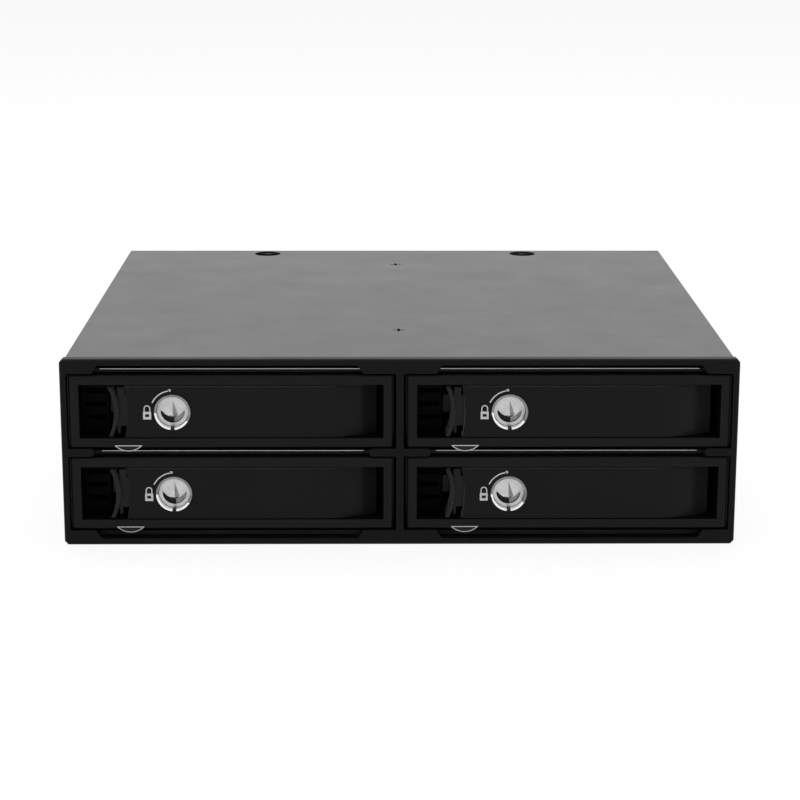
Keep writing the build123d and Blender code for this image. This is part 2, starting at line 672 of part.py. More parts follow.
def latch_spring():
    """A folded strip spring between the latch's tongue and the boss of the lock."""
    front = HANDLE_FACE + HANDLE_SKIN + PLAY
    back = front + SPRING_RUN
    pitch = (LOCK_X - LOCK_BOSS_RADIUS - TONGUE_END - SPRING_STRIP) / SPRING_BENDS
    strip = None
    for number in range(SPRING_BENDS + 1):
        left = TONGUE_END + number * pitch
        leg = rectangle((left, left + SPRING_STRIP), (front, back))
        strip = leg if strip is None else strip + leg
    for number in range(SPRING_BENDS):
        left = TONGUE_END + number * pitch
        edge = back - SPRING_STRIP if number % 2 == 0 else front
        strip += rectangle((left, left + pitch + SPRING_STRIP), (edge, edge + SPRING_STRIP))
    return plate_lying_flat(strip, HANDLE_MIDDLE - SPRING_HEIGHT / 2, SPRING_HEIGHT)


def lock_housing():
    """The chromed barrel of the lock with its front ring."""
    ring_front = HANDLE_FACE - LOCK_RING_PROUD
    ring = rod_along_y(LOCK_RING_RADIUS, LOCK_X, HANDLE_MIDDLE, (ring_front, HANDLE_FACE))
    front_edge = ring.edges().filter_by(GeomType.CIRCLE).sort_by(Axis.Y)[0]
    ring = chamfer(front_edge, LOCK_RING_EDGE)
    body = rod_along_y(LOCK_BODY_RADIUS, LOCK_X, HANDLE_MIDDLE, (HANDLE_FACE, LOCK_BODY_END))
    bore = PLUG_RADIUS + PLUG_CLEARANCE
    return ring + body - rod_along_y(bore, LOCK_X, HANDLE_MIDDLE, (0, LOCK_BODY_END))


def lock_plug():
    """The turning plug, with a raised pointer, a crescent hollow and a square tail."""
    front = HANDLE_FACE - LOCK_RING_PROUD + PLUG_RECESS
    plug = rod_along_y(PLUG_RADIUS, LOCK_X, HANDLE_MIDDLE, (front, LOCK_BODY_END))
    crescent = Circle(CRESCENT_OUTER) - Pos(0, CRESCENT_SHIFT) * Circle(CRESCENT_INNER)
    place = Pos(LOCK_X, 0, HANDLE_MIDDLE)
    plug -= place * plate_facing_front(crescent, front, CRESCENT_DEPTH)
    pointer = place * plate_facing_front(pointer_outline(), front - POINTER_PROUD, POINTER_PROUD)
    tail_end = CAM_FRONT + CAM_THICKNESS + PLAY
    half = PLUG_TAIL / 2
    tail = block(
        (LOCK_X - half, LOCK_X + half),
        (LOCK_BODY_END, tail_end),
        (HANDLE_MIDDLE - half, HANDLE_MIDDLE + half),
    )
    return plug + pointer + tail


def pointer_outline():
    """A drop shape with its tip up, which shows how far the plug is turned."""
    half = POINTER_WIDTH / 2
    low = -POINTER_FOOT
    lines = [
        Line((-half, low), (0, POINTER_TIP)),
        Line((0, POINTER_TIP), (half, low)),
        ThreePointArc((half, low), (0, low - POINTER_BELLY), (-half, low)),
    ]
    return make_face(lines)


def lock_cam():
    """The flat cam on the plug's tail, upright while the lock is open."""
    outline = Pos(0, CAM_REACH / 2) * Rectangle(CAM_WIDTH, CAM_REACH)
    outline += Circle(CAM_BOSS)
    outline -= Rectangle(PLUG_TAIL, PLUG_TAIL)
    place = Pos(LOCK_X, 0, HANDLE_MIDDLE)
    return place * plate_facing_front(outline, CAM_FRONT, CAM_THICKNESS)


# Cage pieces, in the frame of the bezel's front face


def mirrored_pair(solid):
    """A solid and its mirror image on the other side of the middle."""
    return solid + mirror(solid, Plane.YZ)


def front_bezel():
    """The moulded bezel: one window for each column, with tabs, arms and snap legs."""
    outline = Rectangle(BEZEL_WIDTH, BEZEL_HEIGHT)
    outline = Pos(0, MIDDLE_Z) * chamfer(outline.vertices(), BEZEL_CORNER)
    window = bezel_window()
    outline -= window + mirror(window, Plane.YZ)
    body = plate_facing_front(outline, 0, BEZEL_DEPTH)
    rim = body.faces().sort_by(Axis.Y)[0].outer_wire().edges()
    body = chamfer(rim, BEZEL_EDGE)
    cross = plate_facing_front(SlotOverall(2 * CROSS_ARM, ARM_HEIGHT), 0, BEZEL_DEPTH)
    body += Pos(0, 0, MIDDLE_Z) * cross
    body += mirrored_pair(side_arm())
    for x in snap_leg_places():
        body += mirrored_pair(snap_leg(x, DECK_TOPS[2]))
        body += mirrored_pair(snap_leg(x, DECK_TOPS[0]))
    return body


def bezel_window():
    """The window of the right column: two trays, the gap between them and air slots."""
    left = DIVIDER_WIDTH / 2
    right = BEZEL_WIDTH / 2 - BEZEL_SIDE_BAR
    low = LOWER_ROW - TRAY_SLIT
    high = BEZEL_HEIGHT - low
    window = rectangle((left, right), (low, high))
    slot_left = CENTRE_TAB
    slot_right = BEZEL_WIDTH / 2 - CORNER_TAB
    edge = BEZEL_TOP_BAR
    slot = Polygon(
        (slot_left, low),
        (slot_left + TAB_CHAMFER, edge),
        (slot_right - TAB_CHAMFER, edge),
        (slot_right, low),
        align=None,
    )
    return window + slot + Pos(0, BEZEL_HEIGHT) * mirror(slot, Plane.XZ)


def side_arm():
    """The short arm between the two rows at the right side bar."""
    tip = BEZEL_WIDTH / 2 - SIDE_ARM
    root = BEZEL_WIDTH / 2 - BEZEL_SIDE_BAR / 2
    outline = SlotOverall(2 * (root - tip), ARM_HEIGHT)
    outline = outline & rectangle((tip - root, 0), (-ARM_HEIGHT, ARM_HEIGHT))
    return Pos(root, 0, MIDDLE_Z) * plate_facing_front(outline, 0, BEZEL_DEPTH)


def snap_leg_places():
    """Distances of the snap legs from the middle: one by the divider, one by the side."""
    return (SNAP_LEG_INSET, WALL_FACE - SNAP_LEG_SIDE_INSET)


def snap_leg(x, deck_top):
    """A leg that lies on a deck, with a hook down into the deck's slot."""
    across = (x - SNAP_LEG_WIDTH / 2, x + SNAP_LEG_WIDTH / 2)
    low = deck_top + PLAY
    end = BEZEL_DEPTH + SNAP_LEG_REACH
    leg = block(across, (BEZEL_DEPTH / 2, end), (low, low + SNAP_LEG_THICKNESS))
    hook = block(across, (end - SNAP_HOOK_LENGTH, end), (deck_top - DECK_SHEET, low))
    return leg + hook


def deck_snap_slots():
    """Plan outline of the slots that the bezel's hooks drop into, on the right side."""
    end = BEZEL_DEPTH + SNAP_LEG_REACH
    slots = None
    for x in snap_leg_places():
        half = SNAP_LEG_WIDTH / 2 + PLAY
        slot = rectangle((x - half, x + half), (end - SNAP_HOOK_LENGTH - PLAY, end + PLAY))
        slots = slot if slots is None else slots + slot
    return slots


def deck_tab_outlines():
    """Plan outline of the tabs that stand in the right side wall."""
    tabs = None
    for depth in DECK_TAB_DEPTHS:
        half = DECK_TAB_LENGTH / 2
        tab = rectangle((WALL_FACE - PLAY, HALF_BODY), (depth - half, depth + half))
        tabs = tab if tabs is None else tabs + tab
    return tabs


def deck_vents():
    """Plan outline of the air openings of the right half of a deck."""
    across = (RIGHT_COLUMN + DECK_VENT_MARGIN, RIGHT_COLUMN + FRONT_WIDTH - DECK_VENT_MARGIN)
    along = (DECK_FRONT + DECK_VENT_MARGIN, BOARD_FRONT - DECK_VENT_MARGIN)
    vents = None
    for x in spread(across, DECK_ACROSS_COUNT, DECK_VENT_GAP):
        for y in spread(along, DECK_ALONG_COUNT, DECK_VENT_GAP):
            vent = rectangle(x, y)
            vents = vent if vents is None else vents + vent
    return vents


def half_deck(inner_edge):
    """Plan outline of the right half of a deck from an inner edge to the side wall."""
    outline = rectangle((inner_edge, WALL_FACE), (DECK_FRONT, BOARD_FRONT))
    return outline + deck_tab_outlines() - deck_vents()


def glide_places(column):
    """Distances from the middle of the two glide ridges under one tray."""
    return (column + GLIDE_INSET, column + FRONT_WIDTH - GLIDE_INSET)


def glides(deck_top):
    """The pressed ridges that the two sleds of a row run on, as right-hand solids."""
    height = DECK_DROP - SLED_DROP - PLAY
    ridges = None
    for x in glide_places(RIGHT_COLUMN):
        across = (x - GLIDE_WIDTH / 2, x + GLIDE_WIDTH / 2)
        ridge = block(across, (GLIDE_START, BOARD_FRONT - GLIDE_BACK_GAP), (deck_top, deck_top + height))
        ridge = chamfer(ridge.faces().sort_by(Axis.Z)[-1].edges(), height / 2)
        ridges = ridge if ridges is None else ridges + ridge
    return ridges


def lower_deck():
    """The bottom deck, one plate across both columns, with ridges for the lower row."""
    outline = half_deck(0) - deck_snap_slots()
    outline += mirror(outline, Plane.YZ)
    top = DECK_TOPS[0]
    return plate_lying_flat(outline, top - DECK_SHEET, DECK_SHEET) + mirrored_pair(glides(top))


def middle_decks():
    """The two plates between the rows, one on each side of the centre wall."""
    top = DECK_TOPS[1]
    right = plate_lying_flat(half_deck(HALF_WALL), top - DECK_SHEET, DECK_SHEET) + glides(top)
    return [right, mirror(right, Plane.YZ)]


def upper_deck():
    """The top deck, with raised seats for the two screws of the cover."""
    outline = half_deck(0) - deck_snap_slots()
    outline += mirror(outline, Plane.YZ)
    top = DECK_TOPS[2]
    deck = plate_lying_flat(outline, top - DECK_SHEET, DECK_SHEET)
    for depth in COVER_SCREW_DEPTHS:
        deck += rod_along_z(COVER_SCREW_HEAD, 0, depth, (top, COVER_SEAT))
        deck -= rod_along_z(COVER_SCREW_RADIUS, 0, depth, (top - DECK_SHEET, COVER_SEAT))
    return deck


def centre_wall():
    """The wall between the columns, with air openings and notches for the cover's screws."""
    heights = (DECK_TOPS[0], DECK_TOPS[2] - DECK_SHEET)
    across = (-HALF_WALL, HALF_WALL)
    wall = block(across, (DECK_FRONT, BOARD_FRONT), heights)
    along = (DECK_FRONT + DECK_VENT_MARGIN, BOARD_FRONT - DECK_VENT_MARGIN)
    for row in (LOWER_ROW, UPPER_ROW):
        opening = (row + WALL_VENT_MARGIN, row + FRONT_HEIGHT - WALL_VENT_MARGIN)
        for depths in spread(along, DECK_ALONG_COUNT, WALL_VENT_GAP):
            wall -= block(across, depths, opening)
    for depth in COVER_SCREW_DEPTHS:
        span = (depth - COVER_SCREW_RADIUS - PLAY, depth + COVER_SCREW_RADIUS + PLAY)
        wall -= block(across, span, (heights[1] - COVER_SCREW_BITE - PLAY, heights[1]))
    return wall


def countersunk_screw(x, depth):
    """One countersunk screw with a cross recess, flush with the top of the cover."""
    low = BODY_TOP - COVER_HEAD_HEIGHT
    middle = (low + BODY_TOP) / 2
    head = Pos(x, depth, middle) * Cone(COVER_SCREW_RADIUS, COVER_SCREW_HEAD, COVER_HEAD_HEIGHT)
    shank = rod_along_z(COVER_SCREW_RADIUS, x, depth, (BODY_TOP - COVER_SCREW_LENGTH, low))
    cross = Rectangle(DRIVER_RECESS, SHEET) + Rectangle(SHEET, DRIVER_RECESS)
    recess = Pos(x, depth) * plate_lying_flat(cross, BODY_TOP - DRIVER_RECESS_DEPTH, DRIVER_RECESS_DEPTH)
    return head + shank - recess


def cover_screws():
    """The two screws on the middle line of the cover."""
    return [countersunk_screw(0, depth) for depth in COVER_SCREW_DEPTHS]


def top_cover():
    """The flat top sheet with two dimples for its screws, two round holes and lugs."""
    outline = rectangle((-HALF_BODY, HALF_BODY), (BEZEL_DEPTH, CAGE_DEPTH))
    for side in (-1, 1):
        outline -= Pos(side * COVER_HOLE_X, CAGE_DEPTH - COVER_HOLE_BACK_GAP) * Circle(COVER_HOLE_RADIUS)
    cover = plate_lying_flat(outline, COVER_UNDER, SHEET)
    for depth in COVER_SCREW_DEPTHS:
        cover += cover_dimple(depth)
        low = BODY_TOP - COVER_HEAD_HEIGHT
        sink = Pos(0, depth, (low + BODY_TOP) / 2)
        cover -= sink * Cone(COVER_SCREW_RADIUS, COVER_SCREW_HEAD, COVER_HEAD_HEIGHT)
        cover -= rod_along_z(COVER_SCREW_RADIUS, 0, depth, (COVER_SEAT, BODY_TOP))
    for depth in COVER_LUG_DEPTHS:
        lug = block(
            (WALL_FACE - PLAY / 2 - SHEET, WALL_FACE - PLAY / 2),
            (depth - COVER_LUG_LENGTH / 2, depth + COVER_LUG_LENGTH / 2),
            (COVER_UNDER - COVER_LUG_DROP, COVER_UNDER),
        )
        cover += mirrored_pair(lug)
    return cover


def cover_dimple(depth):
    """The pressed cone of sheet under one screw head."""
    height = COVER_UNDER - COVER_SEAT
    place = Pos(0, depth, COVER_SEAT + height / 2)
    return place * Cone(COVER_SCREW_HEAD, COVER_SCREW_HEAD + height, height)


def lower_chassis():
    """The folded floor and side walls, with slots for the decks and the fixing holes."""
    tall = (BODY_BOTTOM, COVER_UNDER)
    body = block((-HALF_BODY, HALF_BODY), (BEZEL_DEPTH, CAGE_DEPTH), tall)
    body = fillet(body.edges().filter_by(Axis.Y).sort_by(Axis.Z)[:2], BEND_RADIUS)
    body -= block((-WALL_FACE, WALL_FACE), (BEZEL_DEPTH, CAGE_DEPTH), (FLOOR_TOP, COVER_UNDER))
    for top in DECK_TOPS:
        slots = deck_tab_slots(top)
        body -= mirrored_pair(slots)
    for x, y in bottom_hole_places():
        body -= rod_along_z(FIX_HOLE_RADIUS, x, y, (BODY_BOTTOM, FLOOR_TOP))
    for y, z in side_hole_places():
        body -= rod_along_x(FIX_HOLE_RADIUS, y, z, (-HALF_BODY, HALF_BODY))
    return body


def deck_tab_slots(deck_top):
    """The slots in the right side wall that take one deck's tabs."""
    slots = None
    half = DECK_TAB_LENGTH / 2 + PLAY
    for depth in DECK_TAB_DEPTHS:
        slot = block(
            (WALL_FACE - PLAY, HALF_BODY),
            (depth - half, depth + half),
            (deck_top - DECK_SHEET - PLAY, deck_top + PLAY),
        )
        slots = slot if slots is None else slots + slot
    return slots


def fix_depths():
    """Depths of the two rows of fixing holes."""
    last = CAGE_DEPTH - FIX_BACK_GAP
    return (last - FIX_ALONG, last)


def bottom_hole_places():
    """Plan positions of the four fixing holes in the floor."""
    half = HALF_BODY - FIX_SIDE_GAP
    return [(side * half, depth) for side in (-1, 1) for depth in fix_depths()]


def side_hole_places():
    """Depth and height of the four fixing holes of a side wall."""
    low = BODY_BOTTOM + FIX_LOW
    return [(depth, height) for depth in fix_depths() for height in (low, low + FIX_RISE)]


def backplane_board():
    """The circuit board with its air windows, indicators, capacitors, header and chip."""
    half = WALL_FACE - BOARD_SIDE_MARGIN
    outline = rectangle((-half, half), (FLOOR_TOP + BOARD_MARGIN, COVER_UNDER - BOARD_MARGIN))
    for x, z in TRAY_PLACES:
        across = (x + BOARD_WINDOW_MARGIN, x + FRONT_WIDTH - BOARD_WINDOW_MARGIN)
        low = z + SOCKET_RISE + SOCKET_HEIGHT / 2 + BOARD_WINDOW_GAP
        outline -= rectangle(across, (low, z + FRONT_HEIGHT - BOARD_WINDOW_TOP))
    for x, z in standoff_places():
        outline -= Pos(x, z) * Circle(STANDOFF_HOLE_RADIUS)
    solids = [plate_facing_front(outline, BOARD_FRONT, BOARD_THICKNESS)]
    for x, z in TRAY_PLACES:
        solids.append(indicator(x + LENS_PLACE, z - (PIPE_DROP + SLED_DROP) / 2))
    return solids + board_parts()


def board_parts():
    """The parts on the back of the board: two capacitors, a fan header and a chip."""
    capacitor_end = BOARD_BACK + CAPACITOR_LENGTH
    rise = FLOOR_TOP + CAPACITOR_RISE
    places = (CAPACITOR_SIDE_GAP - HALF_BODY, HALF_BODY - CAPACITOR_SIDE_GAP)
    parts = [rod_along_y(CAPACITOR_RADIUS, x, rise, (BOARD_BACK, capacitor_end)) for x in places]
    header = plate_facing_front(Rectangle(HEADER_WIDTH, HEADER_HEIGHT), BOARD_BACK, HEADER_LENGTH)
    chip = plate_facing_front(Rectangle(CHIP_WIDTH, CHIP_HEIGHT), BOARD_BACK, CHIP_THICKNESS)
    parts.append(Pos(-HEADER_OFFSET, 0, MIDDLE_Z) * header)
    parts.append(Pos(CHIP_OFFSET, 0, MIDDLE_Z) * chip)
    return parts


def indicator(x, z):
    """One small light on the board, in line with a light guide."""
    return block(
        (x - INDICATOR_WIDTH / 2, x + INDICATOR_WIDTH / 2),
        (BOARD_FRONT - INDICATOR_DEPTH, BOARD_FRONT),
        (z - INDICATOR_HEIGHT / 2, z + INDICATOR_HEIGHT / 2),
    )


def drive_socket(x, z):
    """One socket for a drive, with a short data slot and a long power slot."""
    front = BOARD_FRONT - SOCKET_LENGTH
    outline = Rectangle(SOCKET_WIDTH, SOCKET_HEIGHT)
    body = plate_facing_front(outline, front, SOCKET_LENGTH)
    margin = (SOCKET_WIDTH - DATA_SLOT - POWER_SLOT) / 3
    left = -SOCKET_WIDTH / 2 + margin
    for width in (POWER_SLOT, DATA_SLOT):
        cut = rectangle((left, left + width), (-TONGUE_SLOT_HEIGHT / 2, TONGUE_SLOT_HEIGHT / 2))
        cut += rectangle((left, left + SOCKET_KEY), (-TONGUE_SLOT_HEIGHT, 0))
        body -= plate_facing_front(cut, front, TONGUE_SLOT_DEPTH)
        left += width + margin
    return Pos(x + TRAY_MIDDLE + SOCKET_OFFSET, 0, z + SOCKET_RISE) * body


def drive_sockets():
    """The four sockets that the drives plug into."""
    return [drive_socket(x, z) for x, z in TRAY_PLACES]


def rear_port(width, height):
    """A shrouded rear connector with a contact blade and a key, centred on the axis."""
    outline = Rectangle(width, height)
    body = plate_facing_front(outline, BOARD_BACK, DATA_PORT_LENGTH)
    inside = rectangle(
        (-width / 2 + PORT_WALL, width / 2 - PORT_WALL),
        (-height / 2 + PORT_WALL, height / 2 - PORT_WALL),
    )
    depth = DATA_PORT_LENGTH - PORT_FLOOR
    body -= plate_facing_front(inside, BOARD_BACK + PORT_FLOOR, depth)
    blade_width = width - 2 * PORT_WALL - 2 * PORT_BLADE
    blade = Rectangle(blade_width, PORT_BLADE)
    key_left = blade_width / 2 - PORT_BLADE
    blade += rectangle((key_left, key_left + PORT_BLADE), (0, PORT_KEY_RISE))
    body += plate_facing_front(blade, BOARD_BACK + PORT_FLOOR, depth - PORT_BLADE_SHORT)
    return body


def data_ports():
    """The four data connectors, two on each side of the fan."""
    port = rear_port(DATA_PORT_WIDTH, DATA_PORT_HEIGHT)
    places = [(x, z) for x in (-DATA_PORT_X, DATA_PORT_X) for z in (-DATA_PORT_RISE, DATA_PORT_RISE)]
    return [Pos(x, 0, MIDDLE_Z + z) * port for x, z in places]


def power_ports():
    """The two power connectors, upright beside the fan."""
    port = Rot(0, 90, 0) * rear_port(POWER_PORT_WIDTH, POWER_PORT_HEIGHT)
    return [Pos(x, 0, MIDDLE_Z) * port for x in (-POWER_PORT_X, POWER_PORT_X)]


def standoff_places():
    """Front-view positions of the four spacers between the board and the rear panel."""
    low = FLOOR_TOP + STANDOFF_MARGIN
    high = COVER_UNDER - STANDOFF_MARGIN
    return [(x, z) for x in (-STANDOFF_X, STANDOFF_X) for z in (low, high)]


def rear_panel():
    """The rear sheet with a fan grille, two connector windows, flanges and spacers."""
    half = WALL_FACE - PLAY / 2
    low = FLOOR_TOP + PLAY / 2
    high = COVER_UNDER - PLAY / 2
    outline = rectangle((-half, half), (low, high))
    window = rectangle(
        (PANEL_WINDOW_INNER, PANEL_WINDOW_OUTER),
        (low + PANEL_WINDOW_MARGIN, high - PANEL_WINDOW_MARGIN),
    )
    outline -= window + mirror(window, Plane.YZ)
    outline -= Pos(0, MIDDLE_Z) * fan_grille()
    panel = plate_facing_front(outline, PANEL_FRONT, SHEET)
    flange = block(
        (half - SHEET, half),
        (PANEL_FRONT - PANEL_FLANGE, PANEL_FRONT),
        (low + PANEL_WINDOW_MARGIN, high - PANEL_WINDOW_MARGIN),
    )
    panel += mirrored_pair(flange)
    for x, z in standoff_places():
        panel += rod_along_y(STANDOFF_RADIUS, x, z, (BOARD_BACK, PANEL_FRONT))
    return panel


def fan_grille():
    """The open rings of the grille between its spokes, and the four screw holes."""
    rings = None
    for number in range(GRILLE_RING_COUNT):
        outer = FAN_BORE - GRILLE_RIM - number * GRILLE_RING_PITCH
        ring = Circle(outer) - Circle(outer - GRILLE_RING_OPENING)
        rings = ring if rings is None else rings + ring
    for angle in (45, 135):
        rings -= Rot(0, 0, angle) * Rectangle(2 * FAN_BORE, GRILLE_SPOKE)
    for place in GridLocations(FAN_HOLE_PITCH, FAN_HOLE_PITCH, 2, 2):
        rings += place * Circle(FAN_SCREW_CORE)
    return rings


def fan_frame():
    """The fan's frame with its duct, motor plate, struts, motor core and bearing."""
    outline = RectangleRounded(FAN_SIZE, FAN_SIZE, FAN_CORNER) - Circle(FAN_BORE)
    for place in GridLocations(FAN_HOLE_PITCH, FAN_HOLE_PITCH, 2, 2):
        outline -= place * Circle(FAN_SCREW_CORE)
    frame = plate_facing_front(outline, FAN_FRONT, FAN_DEPTH)
    plate = Circle(FAN_HUB_RADIUS)
    for angle in (0, 90):
        plate += Rot(0, 0, angle) * Rectangle(2 * FAN_BORE + SHEET, FAN_STRUT)
    plate_front = PANEL_FRONT - FAN_HUB_PLATE
    frame += plate_facing_front(plate, plate_front, FAN_HUB_PLATE)
    core_radius = ROTOR_RADIUS - ROTOR_WALL - FAN_BLADE_GAP
    frame += rod_along_y(core_radius, 0, 0, (plate_front - MOTOR_CORE_LENGTH, plate_front))
    frame += rod_along_y(BEARING_RADIUS, 0, 0, (plate_front - BEARING_LENGTH, plate_front))
    bore = SHAFT_RADIUS + SHAFT_CLEARANCE
    frame -= rod_along_y(bore, 0, 0, (plate_front - BEARING_LENGTH, plate_front + SHEET))
    return Pos(0, 0, MIDDLE_Z) * frame


def fan_rotor():
    """The rotor: a cup with seven twisted blades on a steel shaft."""
    front = FAN_FRONT + ROTOR_FRONT_GAP
    back = front + ROTOR_LENGTH
    cup = rod_along_y(ROTOR_RADIUS, 0, 0, (front, back))
    cup = chamfer(cup.faces().sort_by(Axis.Y)[0].edges(), ROTOR_EDGE)
    cup -= rod_along_y(ROTOR_RADIUS - ROTOR_WALL, 0, 0, (front + ROTOR_WALL, back))
    shaft_end = PANEL_FRONT - FAN_HUB_PLATE
    rotor = cup + rod_along_y(SHAFT_RADIUS, 0, 0, (front + ROTOR_WALL / 2, shaft_end))
    blade = fan_blade(front + ROTOR_WALL / 2, back - ROTOR_WALL / 2)
    for number in range(BLADE_COUNT):
        rotor += Rot(0, 360 / BLADE_COUNT * number, 0) * blade
    return Pos(0, 0, MIDDLE_Z) * rotor


def fan_blade(front, back):
    """One blade, swept round the axis between its front and back sections."""
    tip = FAN_BORE - FAN_BLADE_GAP
    half = FAN_BLADE_THICKNESS / 2
    section = rectangle((ROTOR_RADIUS - ROTOR_WALL / 2, tip), (-half, half))
    first = front_plane(front) * section
    second = front_plane(back) * (Rot(0, 0, BLADE_SWEEP) * section)
    return loft([first, second], ruled=True)


def fan_screws():
    """The four screws that hold the fan to the rear panel."""
    back = PANEL_FRONT + SHEET
    head = rod_along_y(FAN_SCREW_HEAD, 0, 0, (back, back + FAN_SCREW_HEAD_HEIGHT))
    screw = head + rod_along_y(FAN_SCREW_CORE, 0, 0, (back - FAN_SCREW_LENGTH, back))
    places = GridLocations(FAN_HOLE_PITCH, FAN_HOLE_PITCH, 2, 2)
    return [Pos(place.position.X, 0, MIDDLE_Z + place.position.Y) * screw for place in places]


def group(solids):
    """Several separate solids as one compound."""
    return Compound([piece for shape in solids for piece in shape.solids()])


def cage_pieces():
    """Every piece of the cage itself, by name."""
    return {
        "lower_chassis": lower_chassis(),
        "top_cover": top_cover(),
        "rear_panel": rear_panel(),
        "front_bezel": front_bezel(),
        "centre_wall": centre_wall(),
        "lower_deck": lower_deck(),
        "middle_decks": group(middle_decks()),
        "upper_deck": upper_deck(),
        "backplane_board": group(backplane_board()),
        "drive_sockets": group(drive_sockets()),
        "data_ports": group(data_ports()),
        "power_ports": group(power_ports()),
        "fan_frame": fan_frame(),
        "fan_rotor": fan_rotor(),
        "cover_screws": group(cover_screws()),
        "fan_screws": group(fan_screws()),
    }


def tray_pieces():
    """Every piece of one tray, by the part of its name that follows the number."""
    return {
        "sled": sled(),
        "front": tray_front(),
        "screws": group(sled_screws()),
        "light_pipe": light_pipe(),
        "handle": handle(),
        "handle_pin": handle_pin(),
        "latch": latch(),
        "latch_spring": latch_spring(),
        "lock_housing": lock_housing(),
        "lock_plug": lock_plug(),
        "lock_cam": lock_cam(),
    }


def build():
    """Write one file for each piece of the cage and of its four trays."""
    os.makedirs("parts", exist_ok=True)
    for name, shape in cage_pieces().items():
        write(name, shape)
    pieces = tray_pieces()
    for number, (x, z) in enumerate(TRAY_PLACES, start=1):
        for name, shape in pieces.items():
            write(f"tray_{number}_{name}", Pos(x, 0, z) * shape)


build()
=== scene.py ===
"""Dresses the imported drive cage: finishes, softened mouldings, printed marks and a plain studio."""

from __future__ import annotations

import json
import logging
import math
from dataclasses import dataclass
from enum import Enum

import bmesh
import bpy
from mathutils import Matrix, Vector


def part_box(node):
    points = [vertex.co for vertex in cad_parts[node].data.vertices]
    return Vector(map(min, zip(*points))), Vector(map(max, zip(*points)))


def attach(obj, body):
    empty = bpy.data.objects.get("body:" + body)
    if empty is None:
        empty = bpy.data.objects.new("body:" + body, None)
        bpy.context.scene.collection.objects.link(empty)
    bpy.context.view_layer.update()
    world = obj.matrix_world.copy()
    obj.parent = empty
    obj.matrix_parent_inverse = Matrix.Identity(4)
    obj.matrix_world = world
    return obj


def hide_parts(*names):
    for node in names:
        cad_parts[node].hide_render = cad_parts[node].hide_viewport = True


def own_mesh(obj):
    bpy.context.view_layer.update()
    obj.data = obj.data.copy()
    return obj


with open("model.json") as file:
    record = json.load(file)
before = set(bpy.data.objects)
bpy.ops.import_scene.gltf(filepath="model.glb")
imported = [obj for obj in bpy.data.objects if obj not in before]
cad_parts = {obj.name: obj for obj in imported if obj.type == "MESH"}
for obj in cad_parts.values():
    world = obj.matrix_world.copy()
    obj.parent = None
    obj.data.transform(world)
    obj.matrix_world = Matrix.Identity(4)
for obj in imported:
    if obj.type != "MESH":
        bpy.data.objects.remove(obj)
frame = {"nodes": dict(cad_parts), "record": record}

LOG = logging.getLogger("drive_cage")
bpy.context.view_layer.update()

Triple = tuple[float, float, float]
Span = tuple[float, float]
Tree = bpy.types.NodeTree
Socket = bpy.types.NodeSocket

MM = 0.001
TRAYS = (1, 2, 3, 4)
SIDES = (-1, 1)
QUARTER_TURN = math.radians(90)
HALF_CIRCLE = 180.0

# How a copy of a CAD node is merged, flattened, cut and shaded.
MERGE_DISTANCE = 0.0005 * MM
CUT_DISTANCE = 0.001 * MM
FLAT_ANGLE = math.radians(0.3)
FACE_AREA_WEIGHT = 100

# The slots of the finishes that a rounded piece has after its first.
SECOND_FINISH = 1
THIRD_FINISH = 2

# How the patterns of every finish are laid.
FINE_DETAIL = 3.0
BROAD_DETAIL = 2.0
EVEN_SCALE = (1.0, 1.0, 1.0)
BRUSHED_SCALE = (0.03, 1.0, 1.0)
COLOUR_SPAN = (0.35, 0.65)
GLOSS_SPAN = (0.3, 0.7)
GLOSS_SHARE = 0.5
EDGE_SAMPLES = 4
EDGE_SPAN = (0.98, 0.8)


def math_node(tree: Tree, operation: str, *values: Socket | float) -> Socket:
    """The result of a Math node.

    Args:
        tree: the node tree that it joins.
        operation: what it does.
        values: its inputs in their order, each a socket or a number.

    Returns:
        The socket that carries the result.
    """
    node = tree.nodes.new("ShaderNodeMath")
    node.operation = operation
    for entry, value in zip(node.inputs, values):
        if isinstance(value, bpy.types.NodeSocket):
            tree.links.new(value, entry)
        else:
            entry.default_value = value
    return node.outputs["Value"]


def grey(value: float) -> Triple:
    """The neutral colour of one linear value."""
    return (value, value, value)


class Grain(Enum):
    """How the fine relief of a finish is laid out."""

    EVEN = "even"
    BRUSHED = "brushed"
    PEBBLED = "pebbled"


